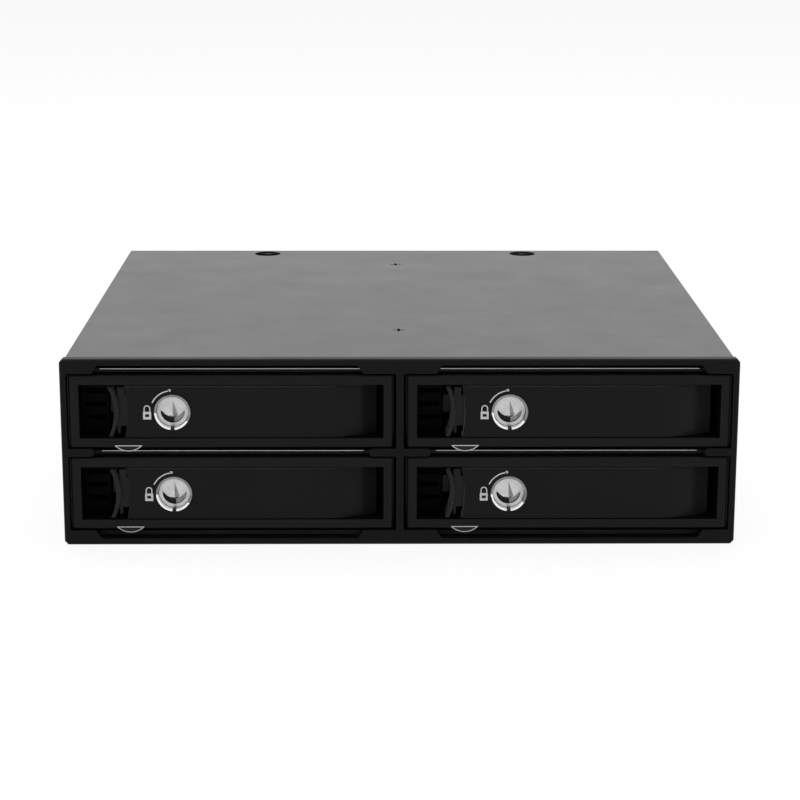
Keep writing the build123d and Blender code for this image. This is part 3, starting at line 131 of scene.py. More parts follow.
@dataclass(frozen=True)
class Finish:
    """A surface finish and the numbers that its node material is built from.

    Colours are linear RGB. Lengths are in millimetres. The colour changes slowly to the tint over
    the blotch size. The edge colour shows on edges: rubbed wear on most finishes, and a painted
    highlight on the dark steel and the lens plastic.
    """

    name: str
    colour: Triple
    tint: Triple
    roughness: Span
    metallic: float = 0.0
    specular: float = 0.5
    coat: float = 0.0
    sheen: float = 0.0
    grain: Grain = Grain.EVEN
    grain_size: float = 0.25
    grain_depth: float = 0.004
    blotch_size: float = 12.0
    wear_and_highlight: Triple = grey(0.1)
    wear_and_highlight_width: float = 0.15
    wear_and_highlight_amount: float = 0.5

    def material(self) -> bpy.types.Material:
        """Builds the node material, or returns the one already built.

        Returns:
            The material that carries this finish.
        """
        known = bpy.data.materials.get(self.name)
        if known is not None:
            return known
        material = bpy.data.materials.new(self.name)
        material.use_nodes = True
        tree = material.node_tree
        shader = next(node for node in tree.nodes if node.type == "BSDF_PRINCIPLED")
        shader.inputs["Metallic"].default_value = self.metallic
        shader.inputs["Specular IOR Level"].default_value = self.specular
        shader.inputs["Sheen Weight"].default_value = self.sheen
        shader.inputs["Coat Weight"].default_value = self.coat
        place = self._place(tree, BRUSHED_SCALE if self.grain is Grain.BRUSHED else EVEN_SCALE)
        fine = self._noise(tree, place, self.grain_size, FINE_DETAIL)
        broad = self._noise(tree, self._place(tree, EVEN_SCALE), self.blotch_size, BROAD_DETAIL)
        # The edge colour: rubbed wear on most finishes, a painted highlight on the dark steel and the
        # lens.
        worn_and_highlit = tree.nodes.new("ShaderNodeMix")
        worn_and_highlit.data_type = "RGBA"
        worn_and_highlit.inputs["B"].default_value = (*self.wear_and_highlight, 1.0)
        tree.links.new(self._edge_mask(tree, fine), worn_and_highlit.inputs["Factor"])
        tree.links.new(self._base_colour(tree, broad), worn_and_highlit.inputs["A"])
        tree.links.new(worn_and_highlit.outputs["Result"], shader.inputs["Base Color"])
        tree.links.new(self._roughness(tree, fine, broad), shader.inputs["Roughness"])
        tree.links.new(self._relief(tree, place, fine), shader.inputs["Normal"])
        return material

    @staticmethod
    def _place(tree: Tree, scale: Triple) -> Socket:
        """Object coordinates, evenly spaced or drawn out along X.

        Args:
            tree: the material's node tree.
            scale: how much the coordinates grow along each axis.

        Returns:
            The socket that carries the coordinates.
        """
        coordinates = tree.nodes.new("ShaderNodeTexCoord")
        mapping = tree.nodes.new("ShaderNodeMapping")
        mapping.inputs["Scale"].default_value = scale
        tree.links.new(coordinates.outputs["Object"], mapping.inputs["Vector"])
        return mapping.outputs["Vector"]

    @staticmethod
    def _noise(tree: Tree, place: Socket, size: float, detail: float) -> Socket:
        """A noise pattern.

        Args:
            tree: the material's node tree.
            place: the coordinates that the pattern follows.
            size: the size of one feature, in millimetres.
            detail: how many finer layers the pattern has.

        Returns:
            The pattern's value, from 0 to 1.
        """
        noise = tree.nodes.new("ShaderNodeTexNoise")
        noise.inputs["Scale"].default_value = 1.0 / (size * MM)
        noise.inputs["Detail"].default_value = detail
        tree.links.new(place, noise.inputs["Vector"])
        return noise.outputs["Fac"]

    @staticmethod
    def _ranged(tree: Tree, value: Socket, found: Span, wanted: Span) -> Socket:
        """A value carried from one range to another and held inside it.

        Args:
            tree: the material's node tree.
            value: the value.
            found: the range that it has.
            wanted: the range that it gets.

        Returns:
            The value in its new range.
        """
        ranged = tree.nodes.new("ShaderNodeMapRange")
        ranged.inputs["From Min"].default_value, ranged.inputs["From Max"].default_value = found
        ranged.inputs["To Min"].default_value, ranged.inputs["To Max"].default_value = wanted
        tree.links.new(value, ranged.inputs["Value"])
        return ranged.outputs["Result"]

    def _base_colour(self, tree: Tree, broad: Socket) -> Socket:
        """The colour and the tint, mixed by the slow pattern.

        Args:
            tree: the material's node tree.
            broad: the slow pattern.

        Returns:
            The mixed colour.
        """
        ramp = tree.nodes.new("ShaderNodeValToRGB")
        first, second = ramp.color_ramp.elements
        first.position, second.position = COLOUR_SPAN
        first.color = (*self.colour, 1.0)
        second.color = (*self.tint, 1.0)
        tree.links.new(broad, ramp.inputs["Fac"])
        return ramp.outputs["Color"]

    def _edge_mask(self, tree: Tree, fine: Socket) -> Socket:
        """How much of the edge colour an edge gets, broken up by the grain. The edge colour is rubbed
        wear on most finishes and a painted highlight on the dark steel and the lens plastic.

        Args:
            tree: the material's node tree.
            fine: the grain pattern.

        Returns:
            The mask, from 0 on flat faces to wear_and_highlight_amount on edges.
        """
        bevel = tree.nodes.new("ShaderNodeBevel")
        bevel.samples = EDGE_SAMPLES
        bevel.inputs["Radius"].default_value = self.wear_and_highlight_width * MM
        surface = tree.nodes.new("ShaderNodeNewGeometry")
        dot = tree.nodes.new("ShaderNodeVectorMath")
        dot.operation = "DOT_PRODUCT"
        tree.links.new(bevel.outputs["Normal"], dot.inputs[0])
        tree.links.new(surface.outputs["Normal"], dot.inputs[1])
        mask = self._ranged(tree, dot.outputs["Value"], EDGE_SPAN, (0.0, self.wear_and_highlight_amount))
        return math_node(tree, "MULTIPLY", mask, fine)

    def _roughness(self, tree: Tree, fine: Socket, broad: Socket) -> Socket:
        """Roughness that varies with the grain and, more slowly, over the whole piece.

        Args:
            tree: the material's node tree.
            fine: the grain pattern.
            broad: the slow pattern.

        Returns:
            The roughness.
        """
        slow = math_node(tree, "MULTIPLY", broad, GLOSS_SHARE)
        both = math_node(tree, "MULTIPLY_ADD", fine, GLOSS_SHARE, slow)
        return self._ranged(tree, both, GLOSS_SPAN, self.roughness)

    def _relief(self, tree: Tree, place: Socket, fine: Socket) -> Socket:
        """The grain's relief.

        Args:
            tree: the material's node tree.
            place: the coordinates that the grain follows.
            fine: the grain pattern.

        Returns:
            The surface normal.
        """
        height = fine
        if self.grain is Grain.PEBBLED:
            cells = tree.nodes.new("ShaderNodeTexVoronoi")
            cells.feature = "SMOOTH_F1"
            cells.inputs["Scale"].default_value = 1.0 / (self.grain_size * MM)
            tree.links.new(place, cells.inputs["Vector"])
            height = cells.outputs["Distance"]
        bump = tree.nodes.new("ShaderNodeBump")
        bump.inputs["Distance"].default_value = self.grain_depth * MM
        tree.links.new(height, bump.inputs["Height"])
        return bump.outputs["Normal"]


BLACK_COAT = Finish(
    "black_coat", (0.012, 0.012, 0.0125), (0.016, 0.016, 0.0165), (0.34, 0.46), specular=0.5,
    grain=Grain.PEBBLED, grain_size=0.22, grain_depth=0.003, wear_and_highlight=(0.06, 0.06, 0.062),
)
COVER_COAT = Finish(
    "cover_coat", (0.017, 0.017, 0.0175), (0.022, 0.022, 0.0225), (0.3, 0.4), specular=0.46,
    grain=Grain.PEBBLED, grain_size=0.25, grain_depth=0.002, wear_and_highlight=(0.12, 0.12, 0.125),
)
# The edge colour here, light grey at full amount, is a painted highlight along the edges of the decks
# and the centre wall.
DARK_STEEL = Finish(
    "dark_steel", (0.014, 0.014, 0.0145), (0.02, 0.02, 0.0205), (0.4, 0.5), specular=0.15,
    grain=Grain.BRUSHED, grain_size=0.12, grain_depth=0.002, wear_and_highlight=grey(0.3), wear_and_highlight_width=0.12,
    wear_and_highlight_amount=1.0,
)
BEZEL_PLASTIC = Finish(
    "bezel_plastic", (0.0042, 0.0042, 0.0044), (0.0054, 0.0054, 0.0056), (0.34, 0.44),
    specular=0.09, grain=Grain.PEBBLED, grain_size=0.18, grain_depth=0.002, wear_and_highlight=grey(0.05),
    wear_and_highlight_amount=0.35,
)
TRAY_PLASTIC = Finish(
    "tray_plastic", (0.0075, 0.0075, 0.0077), (0.009, 0.009, 0.0093), (0.34, 0.44), specular=0.1,
    grain=Grain.PEBBLED, grain_size=0.16, grain_depth=0.002, wear_and_highlight=grey(0.06), wear_and_highlight_amount=0.35,
)
HANDLE_PLASTIC = Finish(
    "handle_plastic", (0.0026, 0.0026, 0.0027), (0.0033, 0.0033, 0.0034), (0.26, 0.34),
    specular=0.07, sheen=0.3, grain_size=0.12, grain_depth=0.001, wear_and_highlight=grey(0.05), wear_and_highlight_amount=0.3,
)
# Painted shade: a darker, rougher copy of the tray plastic inside the finger recess.
RECESS_SHADE_PLASTIC = Finish(
    "recess_painted_shade", grey(0.0022), grey(0.003), (0.45, 0.6), specular=0.04, grain=Grain.PEBBLED,
    grain_size=0.2, grain_depth=0.004, wear_and_highlight=grey(0.01), wear_and_highlight_amount=0.3,
)
LATCH_PLASTIC = Finish(
    "latch_plastic", (0.009, 0.009, 0.0092), (0.0115, 0.0115, 0.0118), (0.28, 0.38), specular=0.16,
    sheen=0.1, grain_size=0.12, grain_depth=0.001, wear_and_highlight=grey(0.06), wear_and_highlight_amount=0.4,
)
CHROME = Finish(
    "chrome", (0.86, 0.86, 0.87), (0.92, 0.92, 0.93), (0.05, 0.12), metallic=1.0, grain_size=0.3,
    grain_depth=0.001, blotch_size=3.0, wear_and_highlight=grey(0.9), wear_and_highlight_amount=0.4,
)
SATIN_METAL = Finish(
    "satin_metal", grey(0.5), grey(0.6), (0.34, 0.48), metallic=1.0, grain_size=0.15,
    grain_depth=0.003, blotch_size=2.0, wear_and_highlight=grey(0.8), wear_and_highlight_amount=0.5,
)
PIN_STEEL = Finish(
    "pin_steel", (0.4, 0.4, 0.41), (0.5, 0.5, 0.51), (0.25, 0.4), metallic=1.0, grain_size=0.1,
    grain_depth=0.002, wear_and_highlight=grey(0.7),
)
# The edge colour here, light grey at full amount, is a painted highlight round the lens's edges.
LENS_PLASTIC = Finish(
    "lens_plastic", (0.012, 0.012, 0.0125), (0.018, 0.018, 0.0185), (0.05, 0.1), specular=0.12,
    grain_size=0.8, grain_depth=0.0004, wear_and_highlight=grey(0.72), wear_and_highlight_width=0.06, wear_and_highlight_amount=1.0,
)
# A painted highlight: the bright rim round the front of the lens.
PAINTED_RIM_HIGHLIGHT = Finish(
    "painted_rim_highlight", (0.6, 0.6, 0.61), (0.7, 0.7, 0.71), (0.1, 0.2), specular=0.4, grain_size=0.4,
    grain_depth=0.0005, wear_and_highlight=grey(0.8), wear_and_highlight_amount=0.3,
)
# A painted highlight: the bright strip along the decks' front edges.
HIGHLIGHT_STEEL = Finish(
    "bare_steel", grey(0.24), grey(0.32), (0.3, 0.45), metallic=0.2, grain_size=0.1,
    grain_depth=0.002, blotch_size=6.0, wear_and_highlight=grey(0.6), wear_and_highlight_amount=0.3,
)
SOLDER_MASK = Finish(
    "solder_mask", (0.008, 0.045, 0.02), (0.012, 0.06, 0.028), (0.22, 0.34), coat=0.4,
    grain_size=0.3, grain_depth=0.003, blotch_size=4.0, wear_and_highlight=(0.2, 0.25, 0.12), wear_and_highlight_amount=0.3,
)
CHIP_BLACK = Finish(
    "chip_black", grey(0.012), grey(0.018), (0.4, 0.55), specular=0.3, grain_size=0.12,
    grain_depth=0.003, blotch_size=2.0, wear_and_highlight=grey(0.06), wear_and_highlight_amount=0.3,
)
SOCKET_PLASTIC = Finish(
    "socket_plastic", grey(0.012), grey(0.016), (0.3, 0.42), grain_size=0.15, grain_depth=0.002,
    wear_and_highlight=grey(0.05),
)
FAN_PLASTIC = Finish(
    "fan_plastic", grey(0.014), grey(0.02), (0.32, 0.46), grain_size=0.2, grain_depth=0.002,
    wear_and_highlight=grey(0.05),
)
SCREW_BLACK = Finish(
    "screw_black", (0.02, 0.02, 0.021), (0.035, 0.035, 0.036), (0.25, 0.4), metallic=0.8,
    grain_size=0.1, grain_depth=0.003, blotch_size=1.5, wear_and_highlight=grey(0.3), wear_and_highlight_amount=0.7,
)
GOLD = Finish(
    "contact_gold", (0.75, 0.5, 0.18), (0.85, 0.6, 0.25), (0.15, 0.3), metallic=1.0, grain_size=0.1,
    grain_depth=0.001, wear_and_highlight=(0.9, 0.7, 0.35),
)
# Painted shade: a darker grey metal for the shaded parts of the lock's ring and plug.
SHADE_GREY_METAL = Finish(
    "painted_shade_grey", grey(0.2), grey(0.28), (0.35, 0.5), metallic=0.9, grain_size=0.12,
    grain_depth=0.002, blotch_size=1.5, wear_and_highlight=grey(0.5), wear_and_highlight_amount=0.4,
)
# Painted shade: near-black for the plug's hollow, the foot of each lock's ring and the fan screws'
# cross recesses.
SHADE_BLACK = Finish(
    "painted_shade_black", grey(0.01), grey(0.02), (0.4, 0.55), specular=0.15, grain_size=0.08,
    grain_depth=0.002, blotch_size=1.0, wear_and_highlight=grey(0.2), wear_and_highlight_amount=0.2,
)
PRINT_WHITE = Finish(
    "print_white", grey(0.62), grey(0.7), (0.45, 0.6), grain_size=0.08, grain_depth=0.002,
    blotch_size=1.0, wear_and_highlight=grey(0.5), wear_and_highlight_amount=0.4,
)

NODE_FINISHES = {
    "lower_chassis": BLACK_COAT,
    "rear_panel": BLACK_COAT,
    "centre_wall": DARK_STEEL,
    "lower_deck": DARK_STEEL,
    "middle_decks": DARK_STEEL,
    "upper_deck": DARK_STEEL,
    "top_cover": COVER_COAT,
    "cover_screws": SCREW_BLACK,
    "drive_sockets": SOCKET_PLASTIC,
    "data_ports": SOCKET_PLASTIC,
    "power_ports": SOCKET_PLASTIC,
    "fan_frame": FAN_PLASTIC,
    "fan_rotor": FAN_PLASTIC,
    "fan_screws": SCREW_BLACK,
}
TRAY_FINISHES = {
    "sled": BLACK_COAT,
    "screws": SCREW_BLACK,
    "handle_pin": PIN_STEEL,
    "lock_cam": PIN_STEEL,
}


def dress(piece: bpy.types.Object, finish: Finish) -> None:
    """Gives a piece one finish all over.

    Args:
        piece: the object to dress.
        finish: the finish it gets.
    """
    material = finish.material()
    if not piece.data.materials:
        piece.data.materials.append(material)
    for slot in piece.material_slots:
        slot.material = material


def dress_nodes(nodes: tuple[str, ...]) -> None:
    """Gives each CAD node the finish that NODE_FINISHES has for it."""
    for node in nodes:
        dress(frame["nodes"][node], NODE_FINISHES[node])


def new_object(name: str, shape: bmesh.types.BMesh) -> bpy.types.Object:
    """Turns a bmesh into an object at the origin.

    Args:
        name: the object's name.
        shape: its mesh, in metres in the part's frame. It is freed here.

    Returns:
        The new object.
    """
    mesh = bpy.data.meshes.new(name)
    shape.to_mesh(mesh)
    shape.free()
    made = bpy.data.objects.new(name, mesh)
    bpy.context.scene.collection.objects.link(made)
    return made


def new_piece(name: str, shape: bmesh.types.BMesh, finish: Finish) -> bpy.types.Object:
    """Turns a bmesh into a finished object at the origin.

    Args:
        name: the piece's name.
        shape: its mesh, in metres in the part's frame. It is freed here.
        finish: the finish it gets.

    Returns:
        The new object.
    """
    piece = new_object(name, shape)
    dress(piece, finish)
    return piece


def body_of_node(node: str) -> str:
    """The name of the body that carries a CAD node."""
    bodies = frame["record"]["behaviour"]["bodies"]
    return next(body for body, members in bodies.items() if node in members)


def merged_copy(node: str) -> bmesh.types.BMesh:
    """A CAD node's mesh with its loose triangles joined.

    Args:
        node: the node's name.

    Returns:
        The merged mesh.
    """
    shape = bmesh.new()
    shape.from_mesh(frame["nodes"][node].data)
    bmesh.ops.remove_doubles(shape, verts=shape.verts, dist=MERGE_DISTANCE)
    return shape


def islands(shape: bmesh.types.BMesh) -> list[list[bmesh.types.BMFace]]:
    """The faces of a mesh, grouped into the solids that aren't joined.

    Args:
        shape: the mesh.

    Returns:
        One list of faces for each solid.
    """
    left = set(shape.faces)
    groups = []
    for first in shape.faces:
        if first in left:
            left.remove(first)
            reached = [first]
            for face in reached:
                for edge in face.edges:
                    near = [other for other in edge.link_faces if other in left]
                    left.difference_update(near)
                    reached.extend(near)
            groups.append(reached)
    return groups


def cut_along(shape: bmesh.types.BMesh, place: Vector, normal: Triple) -> None:
    """Cuts a mesh along a plane and keeps both sides.

    Args:
        shape: the mesh.
        place: a place on the plane.
        normal: the direction square to the plane.
    """
    whole = [*shape.verts, *shape.edges, *shape.faces]
    bmesh.ops.bisect_plane(shape, geom=whole, dist=CUT_DISTANCE, plane_co=place, plane_no=normal)


def solid_boxes(node: str) -> list[tuple[Vector, Vector]]:
    """The box round each solid of a CAD node.

    Args:
        node: the node's name.

    Returns:
        The low and the high corner of each box, in metres.
    """
    shape = merged_copy(node)
    boxes = []
    for faces in islands(shape):
        places = [vertex.co for face in faces for vertex in face.verts]
        low = Vector([min(place[axis] for place in places) for axis in range(3)])
        high = Vector([max(place[axis] for place in places) for axis in range(3)])
        boxes.append((low, high))
    shape.free()
    return boxes


@dataclass
class ContactRow:
    """The row of gilt contacts in each connector of one node.

    Lengths are in millimetres and are taken from the middle of a connector's front or rear end.
    In an upright connector the row stands on its side.
    """

    node: str
    count: int
    pitch: float
    middle: float
    size: Triple
    start: float
    rise: float
    rear: bool = False
    upright: bool = False
    tag: str = "contacts"

    def build(self) -> bpy.types.Object:
        """Lays the contacts.

        Returns:
            The piece that holds them all.
        """
        shape = bmesh.new()
        for low, high in solid_boxes(self.node):
            made = []
            for number in range(self.count):
                bar = bmesh.ops.create_cube(shape, size=1.0)["verts"]
                bmesh.ops.scale(shape, vec=self.size, verts=bar)
                across = self.middle + (number - (self.count - 1) / 2) * self.pitch
                along = self.start + self.size[1] / 2
                place = (across, -along if self.rear else along, self.rise)
                bmesh.ops.translate(shape, vec=place, verts=bar)
                made.extend(bar)
            end = high.y if self.rear else low.y
            matrix = Matrix.Translation(((low.x + high.x) / 2, end, (low.z + high.z) / 2))
            if self.upright:
                matrix = matrix @ Matrix.Rotation(QUARTER_TURN, 4, "Y")
            bmesh.ops.transform(shape, matrix=matrix @ Matrix.Scale(MM, 4), verts=made)
        contacts = new_piece(f"{self.node}_{self.tag}", shape, GOLD)
        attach(contacts, body_of_node(self.node))
        return contacts


@dataclass
class SoftenedNode:
    """A merged copy of a CAD node with its edges rounded as moulding or bending leaves them.

    Lengths are in millimetres, also in the classes that build on this one. The crease is the angle
    in degrees from which an edge is rounded, and extra holds the finishes after the first.
    """

    node: str
    finish: Finish
    radius: float = 0.15
    segments: int = 2
    crease: float = 28.0
    extra: tuple[Finish, ...] = ()

    def reshape(self, shape: bmesh.types.BMesh) -> None:
        """Leaves the shape as it is; a finer piece overrides this."""

    def build(self) -> bpy.types.Object:
        """Makes the copy, rounds it and lets it stand for its node.

        Returns:
            The rounded piece.
        """
        shape = merged_copy(self.node)
        bmesh.ops.dissolve_limit(
            shape, angle_limit=FLAT_ANGLE, verts=shape.verts, edges=shape.edges
        )
        self.reshape(shape)
        for face in shape.faces:
            face.smooth = True
        piece = new_piece(f"{self.node}_soft", shape, self.finish)
        for finish in self.extra:
            piece.data.materials.append(finish.material())
        piece.data.set_sharp_from_angle(angle=math.radians(self.crease))
        rounding = piece.modifiers.new("rounding", "BEVEL")
        rounding.width = self.radius * MM
        rounding.segments = self.segments
        rounding.limit_method = "ANGLE"
        rounding.angle_limit = math.radians(self.crease)
        rounding.use_clamp_overlap = True
        shading = piece.modifiers.new("shading", "WEIGHTED_NORMAL")
        shading.weight = FACE_AREA_WEIGHT
        shading.keep_sharp = True
        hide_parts(self.node)
        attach(piece, body_of_node(self.node))
        return piece


@dataclass
class PlugWithPointer(SoftenedNode):
    """The lock's plug, with a raised pointer over a crescent hollow.

    The pointer's flat top is drawn together to the ridge's share of its size and lifted by the
    rise. Its facets that face right past shaded_from get grey as a painted shade. The hollow gets
    painted shade: dark at its lower left, up to the corner that is measured from the plug's axis,
    and grey at its lower right.
    """

    finish: Finish = SATIN_METAL
    radius: float = 0.06
    extra: tuple[Finish, ...] = (SHADE_GREY_METAL, SHADE_BLACK)
    top_depth: float = 0.01
    ridge: float = 0.12
    rise: float = 0.2
    shaded_from: float = 0.25
    pointer_proud: float = 0.3
    hollow_start: float = 0.02
    hollow_depth: float = 0.9
    land: float = 0.2
    corner: Triple = (0.25, 0.0, -0.2)

    def reshape(self, shape: bmesh.types.BMesh) -> None:
        """Raises the pointer to a ridge and paints shade on its right facets and in the hollow.

        Args:
            shape: the plug's mesh.
        """
        front = min(vertex.co.y for vertex in shape.verts)
        self.raise_pointer(shape, front)
        self.darken_hollow(shape, front + self.pointer_proud * MM)

    def raise_pointer(self, shape: bmesh.types.BMesh, front: float) -> None:
        """Draws the pointer's flat top together into a ridge, lifts it and gives its right facets
        painted shade.

        Args:
            shape: the plug's mesh.
            front: where the pointer's top stands along Y, in metres.
        """
        top = [vertex for vertex in shape.verts if vertex.co.y < front + self.top_depth * MM]
        middle = sum((vertex.co for vertex in top), Vector()) / len(top)
        about = Matrix.Translation(-middle)
        bmesh.ops.scale(shape, vec=(self.ridge, 1.0, self.ridge), space=about, verts=top)
        bmesh.ops.translate(shape, vec=(0.0, -self.rise * MM, 0.0), verts=top)
        bmesh.ops.recalc_face_normals(shape, faces=shape.faces)
        # Painted shade on the pointer's facets that face right.
        for face in {face for vertex in top for face in vertex.link_faces}:
            if face.normal.x > self.shaded_from:
                face.material_index = SECOND_FINISH

    def darken_hollow(self, shape: bmesh.types.BMesh, start: float) -> None:
        """Cuts the hollow's faces at the corner and gives them the darker finishes of painted shade.

        Args:
            shape: the plug's mesh.
            start: where the plug's face stands along Y, in metres.
        """
        low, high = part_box(self.node)
        axis = Vector(((low.x + high.x) / 2, 0.0, (low.z + high.z) / 2))
        reach = (high.x - low.x) / 2 - self.land * MM
        corner = axis + Vector(self.corner) * MM
        for normal in ((1.0, 0.0, 0.0), (0.0, 0.0, 1.0)):
            cut_along(shape, corner, normal)
        for face in shape.faces:
            place = face.calc_center_median()
            depth = place.y - start
            place.y = 0.0
            sunk = self.hollow_start * MM < depth < self.hollow_depth * MM
            if sunk and (place - axis).length < reach and place.z < corner.z:
                face.material_index = THIRD_FINISH if place.x < corner.x else SECOND_FINISH


@dataclass
class LockRing(SoftenedNode):
    """A lock's housing, polished below a slanting line and a darker grey above it as painted shade.

    The line starts at the housing's left side, and slant is the direction square to it.
    """

    finish: Finish = CHROME
    radius: float = 0.1
    extra: tuple[Finish, ...] = (SHADE_GREY_METAL,)
    slant: Triple = (0.258, 0.0, 0.966)

    def reshape(self, shape: bmesh.types.BMesh) -> None:
        """Cuts the housing along the line and gives what is above it the second finish, the painted
        shade.

        Args:
            shape: the housing's mesh.
        """
        left = min(shape.verts, key=lambda vertex: vertex.co.x).co.copy()
        low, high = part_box(self.node)
        left.z = (low.z + high.z) / 2
        cut_along(shape, left, self.slant)
        for face in shape.faces:
            if (face.calc_center_median() - left).dot(Vector(self.slant)) > 0:
                face.material_index = SECOND_FINISH


@dataclass
class TrayMoulding(SoftenedNode):
    """A tray's moulded front, rougher inside its finger recess and darker there with painted shade.
    """

    finish: Finish = TRAY_PLASTIC
    extra: tuple[Finish, ...] = (RECESS_SHADE_PLASTIC,)
    shade_depth: float = 1.0

    def reshape(self, shape: bmesh.types.BMesh) -> None:
        """Gives the faces behind the polished front the second finish: rougher, and darker with
        painted shade.

        Args:
            shape: the moulding's mesh.
        """
        front = min(vertex.co.y for vertex in shape.verts)
        for face in shape.faces:
            if face.calc_center_median().y > front + self.shade_depth * MM:
                face.material_index = SECOND_FINISH


@dataclass
class PopulatedBoard(SoftenedNode):
    """The circuit board with its black chips and bright capacitors.

    A part is round if one of its faces points between X and the other axes, as turned says.
    """

    finish: Finish = SOLDER_MASK
    radius: float = 0.05
    extra: tuple[Finish, ...] = (CHIP_BLACK, SATIN_METAL)
    turned: Span = (0.1, 0.9)

    def reshape(self, shape: bmesh.types.BMesh) -> None:
        """Gives square parts the second finish and round parts the third.

        Args:
            shape: the board's mesh, whose parts aren't joined to it.
        """
        parts = islands(shape)
        board = max(parts, key=lambda faces: sum(face.calc_area() for face in faces))
        least, most = self.turned
        for faces in parts:
            if faces is not board:
                is_round = any(least < abs(face.normal.x) < most for face in faces)
                for face in faces:
                    face.material_index = THIRD_FINISH if is_round else SECOND_FINISH


@dataclass
class LightPipe(SoftenedNode):
    """A light pipe whose front has a bright rim of painted highlight round a dark middle while it is
    unlit.
    """

    finish: Finish = LENS_PLASTIC
    radius: float = 0.06
    extra: tuple[Finish, ...] = (PAINTED_RIM_HIGHLIGHT,)
    rim: float = 0.2

    def reshape(self, shape: bmesh.types.BMesh) -> None:
        """Insets the front and gives its rim the second finish, the painted highlight.

        Args:
            shape: the light pipe's mesh.
        """
        shape.faces.ensure_lookup_table()
        front = min(shape.faces, key=lambda face: face.calc_center_median().y)
        made = bmesh.ops.inset_region(
            shape, faces=[front], thickness=self.rim * MM, use_even_offset=True
        )
        for face in made["faces"]:
            face.material_index = SECOND_FINISH


@dataclass
class LatchSpring(SoftenedNode):
    """A folded strip spring that closes up as its latch is pressed."""

    finish: Finish = PIN_STEEL
    radius: float = 0.04
    segments: int = 1
    travel: float = 1.8

    def build(self) -> bpy.types.Object:
        """Rounds the strip and gives it a mesh of its own.

        Returns:
            The spring.
        """
        spring = super().build()
        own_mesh(spring)
        return spring


@dataclass
class CurvedHandle(SoftenedNode):
    """A handle whose hinge end turns back in a slightly wider curve, as the moulding's skin does.

    The curve takes the last reach of the handle and is flatter by that share at its very end.
    """

    finish: Finish = HANDLE_PLASTIC
    radius: float = 0.2
    flatter: float = 0.24
    reach: float = 11.7

    def reshape(self, shape: bmesh.types.BMesh) -> None:
        """Draws the skin of the hinge end forwards.

        Args:
            shape: the handle's mesh.
        """
        front = min(vertex.co.y for vertex in shape.verts)
        right = max(vertex.co.x for vertex in shape.verts)
        for vertex in shape.verts:
            across = (right - vertex.co.x) / MM
            if across < self.reach:
                depth = vertex.co.y - front
                vertex.co.y -= depth * self.flatter * (1.0 - across / self.reach)


@dataclass
class DeckEdgeHighlight:
    """A painted highlight: a thin bright strip along the front edge of one deck's sheet.

    Lengths are in millimetres. The line lies a drop below the sheet's upper side.
    """

    node: str
    outer_gap: float = 7.5
    inner_gap: float = 8.0
    height: float = 0.16
    drop: float = 0.04
    proud: float = 0.015

    def build(self) -> bpy.types.Object:
        """Lays the painted highlight, a thin bright line along the deck's front edge.

        Returns:
            The line.
        """
        low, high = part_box(self.node)
        reach = low.y + self.drop * MM
        places = [vertex.co for vertex in frame["nodes"][self.node].data.vertices]
        upper = max(place.z for place in places if place.y < reach)
        inner = self.inner_gap * MM
        length = (high.x - low.x) / 2 - inner - self.outer_gap * MM
        size = Vector((length, 2 * self.proud * MM, self.height * MM))
        top = upper - self.drop * MM
        shape = bmesh.new()
        for side in SIDES:
            made = bmesh.ops.create_cube(shape, size=1.0)["verts"]
            bmesh.ops.scale(shape, vec=size, verts=made)
            middle = (low.x + high.x) / 2 + side * (inner + length / 2)
            bmesh.ops.translate(shape, vec=(middle, low.y, top - size.z / 2), verts=made)
        line = new_piece(f"{self.node}_edge", shape, HIGHLIGHT_STEEL)
        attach(line, body_of_node(self.node))
        return line


